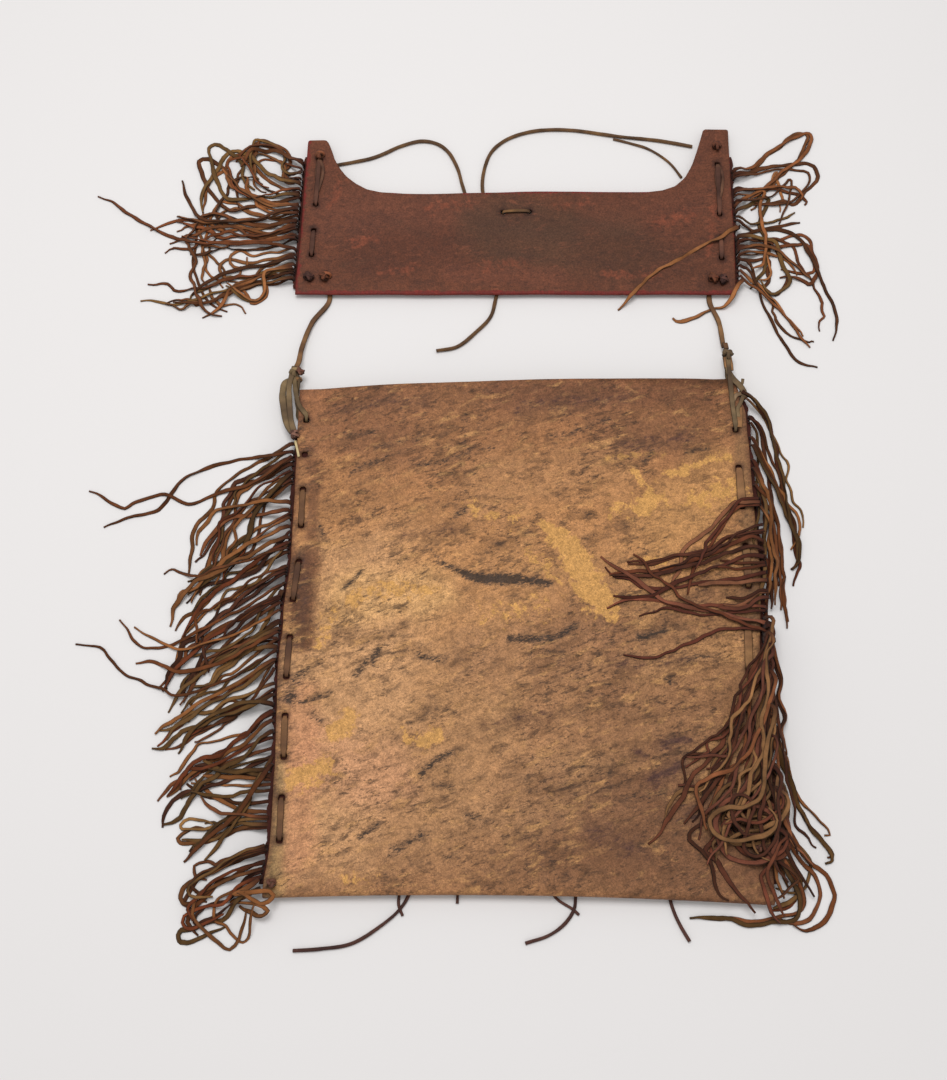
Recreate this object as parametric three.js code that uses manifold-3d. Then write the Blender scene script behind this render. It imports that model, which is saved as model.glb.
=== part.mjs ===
// Parfleche envelope: a pouch folded from one sheet of rawhide, laced with thongs along both
// sides over fringed strips of buckskin, and a shaped rawhide cover panel, fringed at both
// ends, that two thongs tie to the upper corners of the pouch.
// Millimetres, +Z up. The pouch lies on its front with the cover panel turned away along +Y.
// The origin is on the ground, under the middle of the pouch.

import * as THREE from "three";
import { mergeVertices } from "three/addons/utils/BufferGeometryUtils.js";
import Module from "manifold-3d";

const wasm = await Module();
wasm.setup();

// Driving dimensions of the pouch
const pouchWidth = 294;
const pouchLength = 326;
const pouchCentre = { x: -2, y: -2.5 };
const sheet = 2;
const pocketHeight = 14;
const mouthHeight = 11.5;
const foldHeight = 6;
const sideLift = 3;
const foldLift = 3;
const mouthSkew = 8;
const foldSkew = -4;
const foldBow = 3.5;
const cockle = 0.45;
const flatSeam = 15;

// How far each side edge wanders outward from a straight line, from the fold to the mouth
const leftWander = [[0, 0], [0.1, -3.5], [0.25, -3.6], [0.4, -2.8], [0.52, -4.3], [0.65, -7.4], [1, -7.6]];
const rightWander = [[0, 0], [0.33, 1], [0.45, 2.8], [0.6, 6.2], [0.78, 5.3], [0.93, 5], [1, -0.5]];

// Driving dimensions of the buckskin strips and their strands
const clearance = 0.3;
const headingThickness = 1.4;
const headingInside = 13;
const headingReach = 5.5;
const strandWidth = 3.4;
const strandThickness = 1.1;
const strandLayer = 1.4;
const groundGap = 0.2;
const strandSteps = 4;
const fineness = 0.12;

// Driving dimensions of the thongs
const thongWidth = 3;
const thongThickness = 1.2;
const strapWidth = 2.7;
const holeRadius = 2.1;
const holeDepth = 40;
const leftInset = 5.2;
const rightInset = 7.8;
const leftPitch = 24.4;
const rightPitch = 26.6;
const leftSeamStart = 26;
const rightSeamStart = 33;
const knotRadius = 4.2;
const smallKnot = 2.8;
const cordDiameter = 2.4;
const tieDiameter = 2;
const thinDiameter = 1.8;

// Driving dimensions of the cover panel
const panelWidth = 299;
const panelDepth = 81;
const panelThickness = 2.4;
const panelGap = 69.5;
const panelShift = 3;
const hornRise = 45;
const hornTip = 13;
const leftHornRun = 52;
const rightHornRun = 56;
const panelRise = 3.2;
const panelSeamInset = 9;
const panelFringeReach = 5;
const panelFringeStart = 6;
const panelFringeSpan = 106;

// Heights of the layers of a laced side, from the ground up
const frontTop = sideLift + sheet;
const headingBottom = frontTop + clearance;
const headingTop = headingBottom + headingThickness;
const headingMiddle = (headingBottom + headingTop) / 2;
const backBottom = headingTop + clearance;
const backTop = backBottom + sheet;
const stitchAbove = backTop + clearance + thongThickness / 2;
const stitchBelow = sideLift - clearance - thongThickness / 2;

// Places of the pouch's edges
const pouchLeft = pouchCentre.x - pouchWidth / 2;
const pouchRight = pouchCentre.x + pouchWidth / 2;
const pouchBottom = pouchCentre.y - pouchLength / 2;
const pouchTop = pouchCentre.y + pouchLength / 2;

// Places of the panel's edges
const panelLeft = pouchCentre.x - panelWidth / 2 + panelShift;
const panelRight = panelLeft + panelWidth;
const panelBottom = pouchTop + panelGap;
const panelBodyTop = panelBottom + panelDepth;
const panelTop = panelRise + panelThickness;
const panelMiddle = (panelLeft + panelRight) / 2;

const rawhideColour = "#A8764E";
const panelColour = "#74402E";
const fringeColour = "#7A4630";
const panelFringeColour = "#6E3C2A";
const thongColour = "#6A5038";
const strapColour = "#7C6A4C";

// A repeatable number from 0 to 1 for each seed, so that strands differ a little
function chance(seed) {
  const value = Math.sin(seed * 127.1 + 11.7) * 43758.5453;
  return value - Math.floor(value);
}

function mix(a, b, share) {
  return a + (b - a) * share;
}

function smooth(share) {
  const t = Math.min(1, Math.max(0, share));
  return t * t * (3 - 2 * t);
}

// Value of a smooth run through [share, value] pairs
function along(pairs, share) {
  let i = 0;
  while (i < pairs.length - 2 && share > pairs[i + 1][0]) i += 1;
  const [from, a] = pairs[i];
  const [to, b] = pairs[i + 1];
  return mix(a, b, smooth((share - from) / (to - from)));
}

// Turns a geometry into a solid that can be joined and cut
function toSolid(geometry) {
  const bare = new THREE.BufferGeometry();
  bare.setAttribute("position", geometry.getAttribute("position").clone());
  if (geometry.index) bare.setIndex(geometry.index.clone());
  const merged = mergeVertices(bare, 1e-4);
  const vertProperties = new Float32Array(merged.getAttribute("position").array);
  const triVerts = new Uint32Array(merged.index.array);
  const solid = new wasm.Manifold(new wasm.Mesh({ numProp: 3, vertProperties, triVerts }));
  return solid.volume() < 0 ? flipped(vertProperties, triVerts) : solid;
}

// The same solid with its faces turned outward
function flipped(vertProperties, triVerts) {
  for (let i = 0; i < triVerts.length; i += 3) {
    [triVerts[i], triVerts[i + 1]] = [triVerts[i + 1], triVerts[i]];
  }
  return new wasm.Manifold(new wasm.Mesh({ numProp: 3, vertProperties, triVerts }));
}

function toGeometry(solid) {
  const { vertProperties, triVerts } = solid.getMesh();
  const geometry = new THREE.BufferGeometry();
  geometry.setAttribute("position", new THREE.BufferAttribute(vertProperties, 3));
  geometry.setIndex(new THREE.BufferAttribute(triVerts, 1));
  geometry.computeVertexNormals();
  return geometry;
}

// A closed solid through a row of closed sections with the same number of corners
function loft(sections) {
  const count = sections[0].length;
  const positions = sections.flat().flatMap((p) => [p.x, p.y, p.z]);
  const index = [];
  for (let s = 0; s < sections.length - 1; s += 1) {
    for (let i = 0; i < count; i += 1) {
      const a = s * count + i;
      const b = s * count + (i + 1) % count;
      index.push(a, b, b + count, a, b + count, a + count);
    }
  }
  const last = (sections.length - 1) * count;
  for (let i = 1; i < count - 1; i += 1) {
    index.push(0, i + 1, i, last, last + i, last + i + 1);
  }
  return indexed(positions, index);
}

function indexed(positions, index) {
  const geometry = new THREE.BufferGeometry();
  geometry.setAttribute("position", new THREE.Float32BufferAttribute(positions, 3));
  geometry.setIndex(index);
  return geometry;
}

// A sheet with real thickness between two grids of points, closed along its four borders
function thickSheet(outer, inner) {
  const rows = outer.length;
  const columns = outer[0].length;
  const positions = [...outer.flat(), ...inner.flat()].flatMap((p) => [p.x, p.y, p.z]);
  const index = [];
  const under = rows * columns;
  const quad = (a, b, c, d) => index.push(a, b, c, a, c, d);
  for (let r = 0; r < rows - 1; r += 1) {
    for (let c = 0; c < columns - 1; c += 1) {
      const a = r * columns + c;
      quad(a, a + columns, a + columns + 1, a + 1);
      quad(under + a, under + a + 1, under + a + columns + 1, under + a + columns);
    }
  }
  for (let c = 0; c < columns - 1; c += 1) {
    const end = (rows - 1) * columns + c;
    quad(c, c + 1, under + c + 1, under + c);
    quad(end + 1, end, under + end, under + end + 1);
  }
  for (let r = 0; r < rows - 1; r += 1) {
    const a = r * columns;
    const b = a + columns - 1;
    quad(a + columns, a, under + a, under + a + columns);
    quad(b, b + columns, under + b + columns, under + b);
  }
  return indexed(positions, index);
}

// Evenly spaced points of a smooth curve through hand-chosen points
function evenly(points, steps) {
  const curve = new THREE.CatmullRomCurve3(points, false, "centripetal");
  return curve.getSpacedPoints(steps);
}

// A flat strip of hide along a row of points. Its flat side stays level where the strip runs
// level, and turns with the run where it goes down through a hole.
function strip(points, width, thickness, sides = 4) {
  let side = new THREE.Vector3(0, 1, 0);
  const sections = points.map((point, i) => {
    const before = points[Math.max(0, i - 1)];
    const after = points[Math.min(points.length - 1, i + 1)];
    const run = after.clone().sub(before).normalize();
    const level = new THREE.Vector3(-run.y, run.x, 0);
    if (level.length() > 0.35) side = level.normalize();
    side = side.clone().addScaledVector(run, -side.dot(run)).normalize();
    const up = run.clone().cross(side);
    const w = typeof width === "function" ? width(i / (points.length - 1)) : width;
    return flatSection(point, side, up, w, thickness, sides);
  });
  return loft(sections);
}

function flatSection(point, side, up, width, thickness, sides) {
  const ring = [];
  for (let k = 0; k < sides; k += 1) {
    const turn = ((k + 0.5) / sides) * 2 * Math.PI;
    const reach = 1 / Math.cos(Math.PI / sides);
    const across = Math.cos(turn) * reach * width / 2;
    const rise = Math.sin(turn) * reach * thickness / 2;
    ring.push(point.clone().addScaledVector(side, across).addScaledVector(up, rise));
  }
  return ring;
}

function leftEdge(y) {
  return pouchLeft - along(leftWander, (y - pouchBottom) / pouchLength);
}

function rightEdge(y) {
  return pouchRight + along(rightWander, (y - pouchBottom) / pouchLength);
}

// How far across the pouch a place is, from -1 at the left edge to 1 at the right edge
function acrossPouch(x, y) {
  return 2 * (x - leftEdge(y)) / (rightEdge(y) - leftEdge(y)) - 1;
}

// 0 in the laced bands along both sides, rising to 1 in the middle of the pouch
function fullness(across) {
  const band = 1 - 2 * flatSeam / pouchWidth;
  const inward = Math.min(1, Math.max(0, (band - Math.abs(across)) / band));
  return 1 - (1 - inward) ** 2.5;
}

// Height of the middle of the front sheet, which is flat on the ground but for its borders
function frontHeight(across, share) {
  const band = 1 - 2 * flatSeam / pouchWidth;
  const border = smooth((Math.abs(across) - band + 0.12) / 0.12);
  const nearFold = smooth((0.09 - share) / 0.09);
  return sheet / 2 + Math.max(border * sideLift, nearFold * foldLift);
}

// Height of the middle of the back sheet, which bulges over the pocket
function backHeight(across, share) {
  const full = share < 0.45
    ? mix(foldHeight, pocketHeight, smooth(share / 0.45))
    : mix(pocketHeight, mouthHeight, smooth((share - 0.45) / 0.55));
  const bulge = sheet + full - backBottom;
  const waves = Math.sin(10.7 * share + 1.9 * across) + Math.sin(8.2 * across - 5.7 * share);
  return backBottom + sheet / 2 + fullness(across) * (bulge + cockle * waves);
}

// One lengthwise section of the folded sheet: the front, the fold and the back
function pouchSection(across) {
  const foldY = pouchBottom + foldSkew * (across + 1) / 2 + foldBow * (1 - across * across);
  const mouthY = pouchTop + mouthSkew * across / 2;
  const length = mouthY - foldY;
  const low = frontHeight(across, 0);
  const high = backHeight(across, 0);
  const half = (high - low) / 2;
  const depth = half * 0.9;
  const points = [];
  const frontShares = [0.99, 0.7, 0.42, 0.2, 0.09, 0.04];
  const backShares = [0.04, 0.1, 0.19, 0.3, 0.42, 0.55, 0.69, 0.84, 1];
  const onArm = (share) => foldY + depth + share * (length - depth);
  for (const share of frontShares) {
    points.push(new THREE.Vector2(onArm(share), frontHeight(across, share)));
  }
  const foldSteps = 4;
  for (let i = 0; i <= foldSteps; i += 1) {
    const turn = Math.PI * (i / foldSteps - 0.5);
    const y = foldY + depth - depth * Math.cos(turn);
    points.push(new THREE.Vector2(y, low + half + half * Math.sin(turn)));
  }
  for (const share of backShares) {
    points.push(new THREE.Vector2(onArm(share), backHeight(across, share)));
  }
  return points;
}

// The middle line of a section moved sideways by half the sheet
function besideSection(section, distance) {
  return section.map((point, i) => {
    const before = section[Math.max(0, i - 1)];
    const after = section[Math.min(section.length - 1, i + 1)];
    const run = after.clone().sub(before).normalize();
    return new THREE.Vector2(point.x + run.y * distance, point.y - run.x * distance);
  });
}

function pouchShell() {
  const band = flatSeam / pouchWidth;
  const inner = [1, 1.7, 2.6, 3.8].map((times) => times * band);
  const middle = [];
  const middleSteps = 7;
  for (let i = 0; i <= middleSteps; i += 1) middle.push(mix(0.24, 0.76, i / middleSteps));
  const stations = [0, ...inner, ...middle, ...inner.map((s) => 1 - s).reverse(), 1];
  const place = (line, u) => line.map((p) => {
    return new THREE.Vector3(mix(leftEdge(p.x), rightEdge(p.x), u), p.x, p.y);
  });
  const outer = [];
  const within = [];
  for (const u of stations) {
    const section = pouchSection(2 * u - 1);
    outer.push(place(besideSection(section, -sheet / 2), u));
    within.push(place(besideSection(section, sheet / 2), u));
  }
  return toSolid(thickSheet(outer, within));
}

function punch(x, y) {
  const hole = new THREE.CylinderGeometry(holeRadius, holeRadius, holeDepth, 6);
  hole.rotateX(Math.PI / 2);
  hole.translate(x, y, 0);
  return toSolid(hole);
}

// The holes of one laced side, from the mouth down to the fold
function seamHoles(edge, inset, first, pitch) {
  const holes = [];
  for (let y = first; y > pouchBottom + pitch / 4; y -= pitch) {
    holes.push({ x: edge(y) + inset, y });
  }
  return holes;
}

const leftHoles = seamHoles(leftEdge, leftInset, pouchTop - leftSeamStart, leftPitch);
const rightHoles = seamHoles(rightEdge, -rightInset, pouchTop - rightSeamStart, rightPitch);

function cutAll(solid, holes) {
  return holes.reduce((rest, hole) => rest.subtract(punch(hole.x, hole.y)), solid);
}

// A running stitch: over the back from the first hole to the second, under the front to the
// third, and so on. The thong ends in a knot above the first hole and beneath the last.
function runningStitch(holes, above, below, bend = 1.6) {
  const points = [];
  holes.forEach((hole, i) => {
    const from = holes[i - 1];
    const to = holes[i + 1];
    const arrivesAbove = i % 2 === 1;
    const [first, second] = arrivesAbove ? [above, below] : [below, above];
    const step = (other, height) => {
      const way = new THREE.Vector2(other.x - hole.x, other.y - hole.y).normalize();
      points.push(new THREE.Vector3(hole.x + way.x * bend, hole.y + way.y * bend, height));
    };
    const down = first > second ? -1 : 1;
    if (from) {
      step(from, first);
      points.push(new THREE.Vector3(hole.x, hole.y, first + down * bend * 0.8));
    }
    if (from && to) points.push(new THREE.Vector3(hole.x, hole.y, second - down * bend * 0.8));
    if (!from) points.push(new THREE.Vector3(hole.x, hole.y, second));
    if (to) step(to, second);
  });
  return points;
}

// An overhand knot, pulled tight: two turns of thong crossing one another
function knot(centre, radius, turned = 0, full = 0.6) {
  const thick = radius * 0.46;
  const turns = [0, 1].map((i) => {
    const turn = new THREE.TorusGeometry(radius - thick, thick, 5, 6);
    turn.rotateX(0.5 + i * 1.35);
    turn.rotateZ(turned + i * 0.9);
    turn.translate(centre.x, centre.y, centre.z);
    return toSolid(turn);
  });
  const heart = new THREE.IcosahedronGeometry(radius * full, full > 0.8 ? 1 : 0);
  heart.translate(centre.x, centre.y, centre.z);
  return wasm.Manifold.union([...turns, toSolid(heart)]).simplify(2 * fineness);
}

// Rows of strands read from their roots: the share of the seam where the strand leaves the
// strip, then how far out and how far along each bend of it lies from its root
const leftComb = [
  [0.02, [[14, -5], [22, -16], [34, -18], [44, -24], [46, -29], [36, -29], [22, -23]]],
  [0.06, [[23, -8], [39, -18], [41, -28], [29, -40], [16, -47], [9, -38], [8, -27]]],
  [0.09, [[15, -4], [24, -8], [36, -15], [50, -24], [48, -30], [42, -31], [34, -30]]],
  [0.137, [[18, -1], [30, -4], [42, -7], [50, -7], [57, -6], [56, -2], [42, 0]]],
  [0.17, [[15, 1], [26, 6], [35, 11], [42, 15], [46, 19]]],
  [0.22, [[12, 0], [24, 1], [34, 3], [49, 4]]],
  [0.314, [[9, -5], [22, -15], [31, -21], [46, -28], [52, -34], [58, -41], [63, -44]]],
  [0.613, [[14, -8], [30, -22], [43, -30], [52, -38], [58, -46], [60, -58], [62, -70]]],
  [0.713, [[16, -10], [32, -24], [45, -37], [54, -47], [58, -57]]],
  [0.77, [[4, 0], [22, -1], [35, -4], [42, -11], [48, -21], [50, -29]]],
  [0.827, [[15, -7], [31, -17], [36, -30], [38, -42], [42, -56], [46, -70]]],
  [0.87, [[11, -6], [27, -17], [38, -26], [48, -50], [54, -56], [55, -78], [56, -94]]],
];
const leftStray = [
  [0.85, [[12, -2], [41, -4], [65, -14], [77, -32], [91, -40], [114, -48]]],
  [0.842, [[16, -12], [39, -22], [58, -30], [80, -23], [102, -33], [126, -21]]],
  [0.649, [[16, -5], [44, -14], [56, -16], [65, -13], [73, -14]]],
  [0.575, [[21, -12], [41, -24], [59, -34], [82, -38], [99, -20]]],
  [0.446, [[21, -12], [60, -27], [76, -20], [100, -6], [110, 4], [124, 6]]],
];
const leftStrands = 24;

const rightComb = [
  [0.64, [[6, -10], [8, -26], [8, -42], [5, -55], [1, -62]]],
  [0.72, [[6, -12], [11, -24], [14, -34], [12, -44], [8, -52]]],
  [0.8, [[9, -20], [8, -38], [8, -54], [5, -68], [2, -80]]],
  [0.88, [[13, -26], [15, -44], [17, -62], [18, -80], [14, -96]]],
  [0.97, [[6, -8], [14, -20], [15, -40], [18, -62], [19, -86], [19, -118]]],
];
const rightStray = [
  [0.47, [[3, -14], [2, -30], [5, -50], [1, -64], [3, -84], [6, -98], [20, -124], [26, -136]]],
  [0.41, [[5, -12], [3, -30], [6, -52], [10, -66], [22, -100], [20, -118], [5, -136]]],
  [0.3, [[6, -10], [4, -24], [9, -38], [14, -62], [22, -76], [20, -92], [6, -106]]],
  [0.2, [[5, -10], [8, -22], [14, -32], [19, -48], [14, -66]]],
  [0.12, [[5, -8], [10, -18], [14, -30], [8, -46], [-6, -52], [-30, -53], [-52, -50]]],
];

// Strands that were folded over the edge and lie on the back of the pouch
const rightFolded = [
  [0.735, [[3, -1], [-6, -1], [-13, -1], [-19, -7], [-35, -30], [-46, -51], [-51, -64]]],
  [0.69, [[3, -1], [-8, -4], [-25, -8], [-37, -18], [-63, -25], [-95, -31]]],
  [0.64, [[3, -1], [-6, 3], [-26, -5], [-52, -16], [-76, -23], [-96, -25]]],
  [0.58, [[3, 0], [-8, -1], [-21, -2], [-41, -2], [-58, -4]]],
  [0.55, [[3, -1], [-9, -5], [-20, -9], [-29, -10]]],
  [0.5, [[3, 0], [-12, 2], [-28, 6], [-45, 10], [-68, 19], [-97, 38]]],
  [0.485, [[3, 0], [-18, -1], [-29, -2], [-46, -11], [-77, -26], [-93, -27]]],
];

// Strands that lie in one bundle down the back and curl up near the lower corner
const rightBundle = [
  [0.5, [[3, -12], [-4, -26], [-12, -40], [-22, -62], [-32, -88], [-50, -112], [-58, -122]]],
  [0.44, [[3, -8], [-8, -24], [-16, -42], [-28, -68], [-44, -96], [-56, -124]]],
  [0.36, [[3, -6], [-10, -20], [-24, -46], [-42, -76], [-38, -98], [-26, -120]]],
  [0.27, [[3, -4], [-12, -12], [-32, -16], [-36, -34], [-20, -50], [-6, -40], [-14, -22]]],
];
const rightStrands = 12;

const panelLeftComb = [
  [0.05, [[18, -2], [30, -2], [40, -4], [50, -7], [60, -12], [70, -16], [79, -18], [92, -15]]],
  [0.3, [[20, 0], [30, 2], [40, 5], [49, 3], [54, -2], [56, -20], [55, -44], [44, -70]]],
  [0.5, [[28, 14], [54, 20], [63, 18], [75, 21], [84, 16], [106, 8]]],
  [0.75, [[28, 4], [41, 6], [54, 6], [64, 10], [74, 8], [83, 2]]],
  [0.95, [[10, 12], [14, 22], [18, 32], [26, 34], [37, 36], [40, 20], [36, 4]]],
];
const panelLeftStray = [
  [0.25, [[28, 6], [54, 6], [75, 8], [91, 15], [110, 26], [130, 38], [141, 46]]],
  [0.65, [[28, 10], [44, 22], [60, 32], [66, 50], [62, 60], [48, 46], [36, 26]]],
  [0.85, [[28, 6], [54, 6], [60, 18], [55, 34], [50, 44], [40, 48]]],
];
const panelLeftStrands = 14;

const panelRightComb = [
  [0.05, [[10, -2], [14, -14], [18, -26], [24, -39], [32, -60], [38, -68], [56, -76]]],
  [0.35, [[9, 3], [19, 9], [30, 10], [45, 5], [55, -17], [65, -43], [67, -68]]],
  [0.5, [[22, 4], [38, 8], [52, 4], [57, -10], [54, -24]]],
  [0.7, [[8, -1], [24, 3], [40, 1], [48, -6], [44, -14]]],
  [0.8, [[8, 3], [26, 10], [45, 11], [60, 8], [60, -6], [48, -18]]],
  [0.95, [[10, 2], [17, 9], [35, 25], [50, 33], [56, 24], [46, 8], [30, -6]]],
];
const panelRightStray = [
  [0.3, [[22, 0], [27, -12], [31, -26], [24, -40], [18, -34], [10, -28]]],
  [0.9, [[15, -10], [12, -30], [15, -44], [14, -60], [5, -70]]],
];
const panelRightStrands = 14;

// Level of the upper surface at a place, over the pouch and out past its edges, where what
// lies over it slopes down to the ground
function levelOverPouch(x, y) {
  const reach = 7;
  const slope = 1.15;
  const across = acrossPouch(x, y);
  const share = (y - pouchBottom) / pouchLength;
  const outside = Math.max(leftEdge(y) - x, x - rightEdge(y), pouchBottom + foldSkew - y, 0);
  const clamped = Math.min(1, Math.max(0, share));
  const surface = backHeight(Math.min(1, Math.max(-1, across)), clamped) + sheet / 2;
  const laced = stitchAbove + thongThickness / 2;
  const nearSeam = Math.abs(across) > 1 - 2.6 * flatSeam / pouchWidth;
  const top = nearSeam ? Math.max(surface, laced) : surface;
  return Math.max(groundGap, top - Math.max(0, outside - reach) * slope);
}

// One strand as a flat tapering strip. Its root lies inside the strip that it is cut from.
function strand(rootPoint, outward, bends, options) {
  const { layer = 0, steps = strandSteps, level = null, sink = 2.5 } = options;
  const flat = bends.map(([out, up]) => new THREE.Vector3(outward * out, up, 0));
  if (!level) flat.unshift(new THREE.Vector3(0, 0, 0));
  const points = evenly(flat, steps).map((offset) => offset.add(rootPoint).setZ(0));
  let gone = 0;
  points.forEach((point, i) => {
    if (i > 0) gone += Math.hypot(point.x - points[i - 1].x, point.y - points[i - 1].y);
    const ground = level ? level(point.x, point.y) + clearance : groundGap;
    const lying = ground + strandThickness / 2 + layer * strandLayer;
    point.z = mix(rootPoint.z, lying, level ? 1 : smooth(gone / 14));
  });
  const root = rootPoint.clone();
  root.x -= outward * sink;
  if (level) points.unshift(rootPoint.clone());
  points.unshift(root);
  const taper = (share) => strandWidth * (share > 0.85 ? 0.55 : 1);
  return toSolid(strip(points, taper, strandThickness));
}

// Bends of a strand between the rows of a comb
function combed(comb, share) {
  let i = 0;
  while (i < comb.length - 2 && share > comb[i + 1][0]) i += 1;
  const blend = Math.min(1, Math.max(0, (share - comb[i][0]) / (comb[i + 1][0] - comb[i][0])));
  const count = 7;
  const spaced = (bends) => {
    return evenly([[0, 0], ...bends].map(([out, up]) => new THREE.Vector3(out, up, 0)), count);
  };
  const a = spaced(comb[i][1]);
  const b = spaced(comb[i + 1][1]);
  return a.map((point, k) => point.lerp(b[k], blend)).slice(1).map((p) => [p.x, p.y]);
}

// A strand turned and stretched a little, so that no two strands match
function varied(bends, seed) {
  const turn = (chance(seed) - 0.5) * 0.22;
  const stretch = 0.86 + 0.26 * chance(seed + 0.5);
  return bends.map(([out, up]) => [
    stretch * (out * Math.cos(turn) - up * Math.sin(turn)),
    stretch * (out * Math.sin(turn) + up * Math.cos(turn)),
  ]);
}

// A strip of buckskin between the layers of a side, holed for the thong and cut into strands
function fringe(heading, holes, strands) {
  return wasm.Manifold.union([cutAll(heading, holes), ...strands]).simplify(fineness);
}

function headingStrip(edge, outward, low, high, bottom, top, reach = headingReach) {
  const rows = 10;
  const columns = [-headingInside, reach];
  const grid = (z) => {
    const lines = [];
    for (let r = 0; r <= rows; r += 1) {
      const y = mix(low, high, r / rows);
      lines.push(columns.map((c) => new THREE.Vector3(edge(y) + outward * c, y, z)));
    }
    return lines;
  };
  return toSolid(thickSheet(grid(top), grid(bottom)));
}

function pouchFringe(edge, outward, span, holes, comb, count, stray, laid) {
  const [low, high] = span.map((share) => mix(pouchBottom, pouchTop, share));
  const rootAt = (share) => {
    const y = Math.min(high - 2, Math.max(low + 2, mix(pouchBottom, pouchTop, share)));
    return new THREE.Vector3(edge(y) + outward * headingReach, y, headingMiddle);
  };
  const strands = [];
  const first = comb[0][0];
  const last = comb[comb.length - 1][0];
  for (let i = 0; i < count; i += 1) {
    const share = mix(first, last, i / (count - 1));
    const bends = varied(combed(comb, share), i + 1);
    strands.push(strand(rootAt(share), outward, bends, { layer: i % 3 }));
  }
  stray.forEach(([share, bends], i) => {
    strands.push(strand(rootAt(share), outward, bends, { layer: (i + 1) % 3, steps: 6 }));
  });
  laid.forEach(([share, bends], i) => {
    const options = { layer: i % 3, steps: 7, level: levelOverPouch };
    strands.push(strand(rootAt(share), outward, bends, options));
  });
  const heading = headingStrip(edge, outward, low, high, headingBottom, headingTop);
  return fringe(heading, holes, strands);
}

// Outline of the cover panel: straight ends and bottom, and two horns joined to the top edge
// by concave curves
function panelShape() {
  const shape = new THREE.Shape();
  const leftTip = panelBodyTop + hornRise - 2;
  const rightTip = panelBodyTop + hornRise + 8;
  shape.moveTo(panelLeft, panelBottom);
  shape.lineTo(panelRight, panelBottom);
  shape.lineTo(panelRight + 3, rightTip - 4);
  shape.lineTo(panelRight - 2, rightTip - 1);
  shape.lineTo(panelRight - 2 - hornTip, rightTip);
  shape.bezierCurveTo(
    panelRight - hornTip - 9, panelBodyTop + 22,
    panelRight - hornTip - 22, panelBodyTop + 2,
    panelRight - rightHornRun, panelBodyTop,
  );
  shape.lineTo(panelLeft + leftHornRun, panelBodyTop - 1.5);
  shape.bezierCurveTo(
    panelLeft + hornTip + 24, panelBodyTop + 2,
    panelLeft + hornTip + 10, panelBodyTop + 18,
    panelLeft + hornTip + 4, leftTip,
  );
  shape.lineTo(panelLeft + 4, leftTip);
  return shape;
}

function panelLeftEdge(y) {
  return panelLeft + 4 * Math.max(0, (y - panelBottom) / (panelDepth + hornRise));
}

function panelRightEdge(y) {
  return panelRight + 3 * Math.max(0, (y - panelBottom) / (panelDepth + hornRise));
}

// Holes of the panel's laced ends from the horn down, as heights above its bottom edge
const panelLeftStitches = [109, 71, 50, 30.5, 12];
const panelRightStitches = [104, 63, 43.5, 28, 10];
const panelHoles = (stitches, edge, inward) => stitches.map((rise) => {
  const y = panelBottom + rise;
  return { x: edge(y) + inward * panelSeamInset, y };
});
const panelLeftHoles = panelHoles(panelLeftStitches, panelLeftEdge, 1);
const panelRightHoles = panelHoles(panelRightStitches, panelRightEdge, -1);

// Holes for the two ties near the lower corners, and the two slits of the carrying thong
const leftTieHole = { x: panelLeft + 20, y: panelBottom + 13 };
const rightTieHole = { x: panelRight - 15, y: panelBottom + 11 };
const slits = [
  { x: panelMiddle - 8, y: panelBodyTop - 16.5 },
  { x: panelMiddle + 10, y: panelBodyTop - 16 },
];

function coverPanel() {
  const plate = new THREE.ExtrudeGeometry(panelShape(), {
    depth: panelThickness,
    bevelEnabled: false,
    curveSegments: 10,
  });
  plate.translate(0, 0, panelRise);
  const holes = [...panelLeftHoles, ...panelRightHoles, leftTieHole, rightTieHole, ...slits];
  return cutAll(toSolid(plate), holes);
}

const panelHeadingTop = panelRise - clearance;
const panelHeadingBottom = panelHeadingTop - headingThickness;
const panelStitchAbove = panelTop + clearance + thongThickness / 2;
const panelStitchBelow = panelHeadingBottom - clearance - thongThickness / 2 + 0.02;

// Level of the surface over the panel and out past its edges
function levelOverPanel(x, y) {
  const reach = 5;
  const outside = Math.max(panelLeft - x, x - panelRight - 3, panelBottom - y, 0);
  const laced = panelStitchAbove + thongThickness / 2;
  const nearSeam = x > panelRightEdge(y) - 22 || x < panelLeftEdge(y) + 22;
  const top = nearSeam ? laced : panelTop;
  return Math.max(groundGap, top - Math.max(0, outside - reach));
}

function panelFringe(edge, outward, holes, comb, count, stray, laid) {
  const low = panelBottom + panelFringeStart;
  const high = low + panelFringeSpan;
  const heading = headingStrip(
    edge, outward, low, high, panelHeadingBottom, panelHeadingTop, panelFringeReach,
  );
  const middle = (panelHeadingBottom + panelHeadingTop) / 2;
  const rootAt = (share) => {
    const y = mix(low + 2, high - 4, share);
    return new THREE.Vector3(edge(y) + outward * panelFringeReach, y, middle);
  };
  const strands = [];
  for (let i = 0; i < count; i += 1) {
    const share = mix(comb[0][0], comb[comb.length - 1][0], i / (count - 1));
    const bends = varied(combed(comb, share), i + 40);
    strands.push(strand(rootAt(share), outward, bends, { layer: i % 3, steps: 5 }));
  }
  stray.forEach(([share, bends], i) => {
    strands.push(strand(rootAt(share), outward, bends, { layer: (i + 1) % 3, steps: 6 }));
  });
  laid.forEach(([share, bends], i) => {
    const options = { layer: i, steps: 8, level: levelOverPanel };
    strands.push(strand(rootAt(share), outward, bends, options));
  });
  return fringe(heading, holes, strands);
}

// Strands of the right end that fell across the face of the panel
const panelRightLaid = [
  [0.42, [[3, 0], [-9, -6], [-20, -10], [-42, -24], [-60, -36], [-76, -53], [-84, -60]]],
];

function point(x, y, z) {
  return new THREE.Vector3(x, y, z);
}

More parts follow.
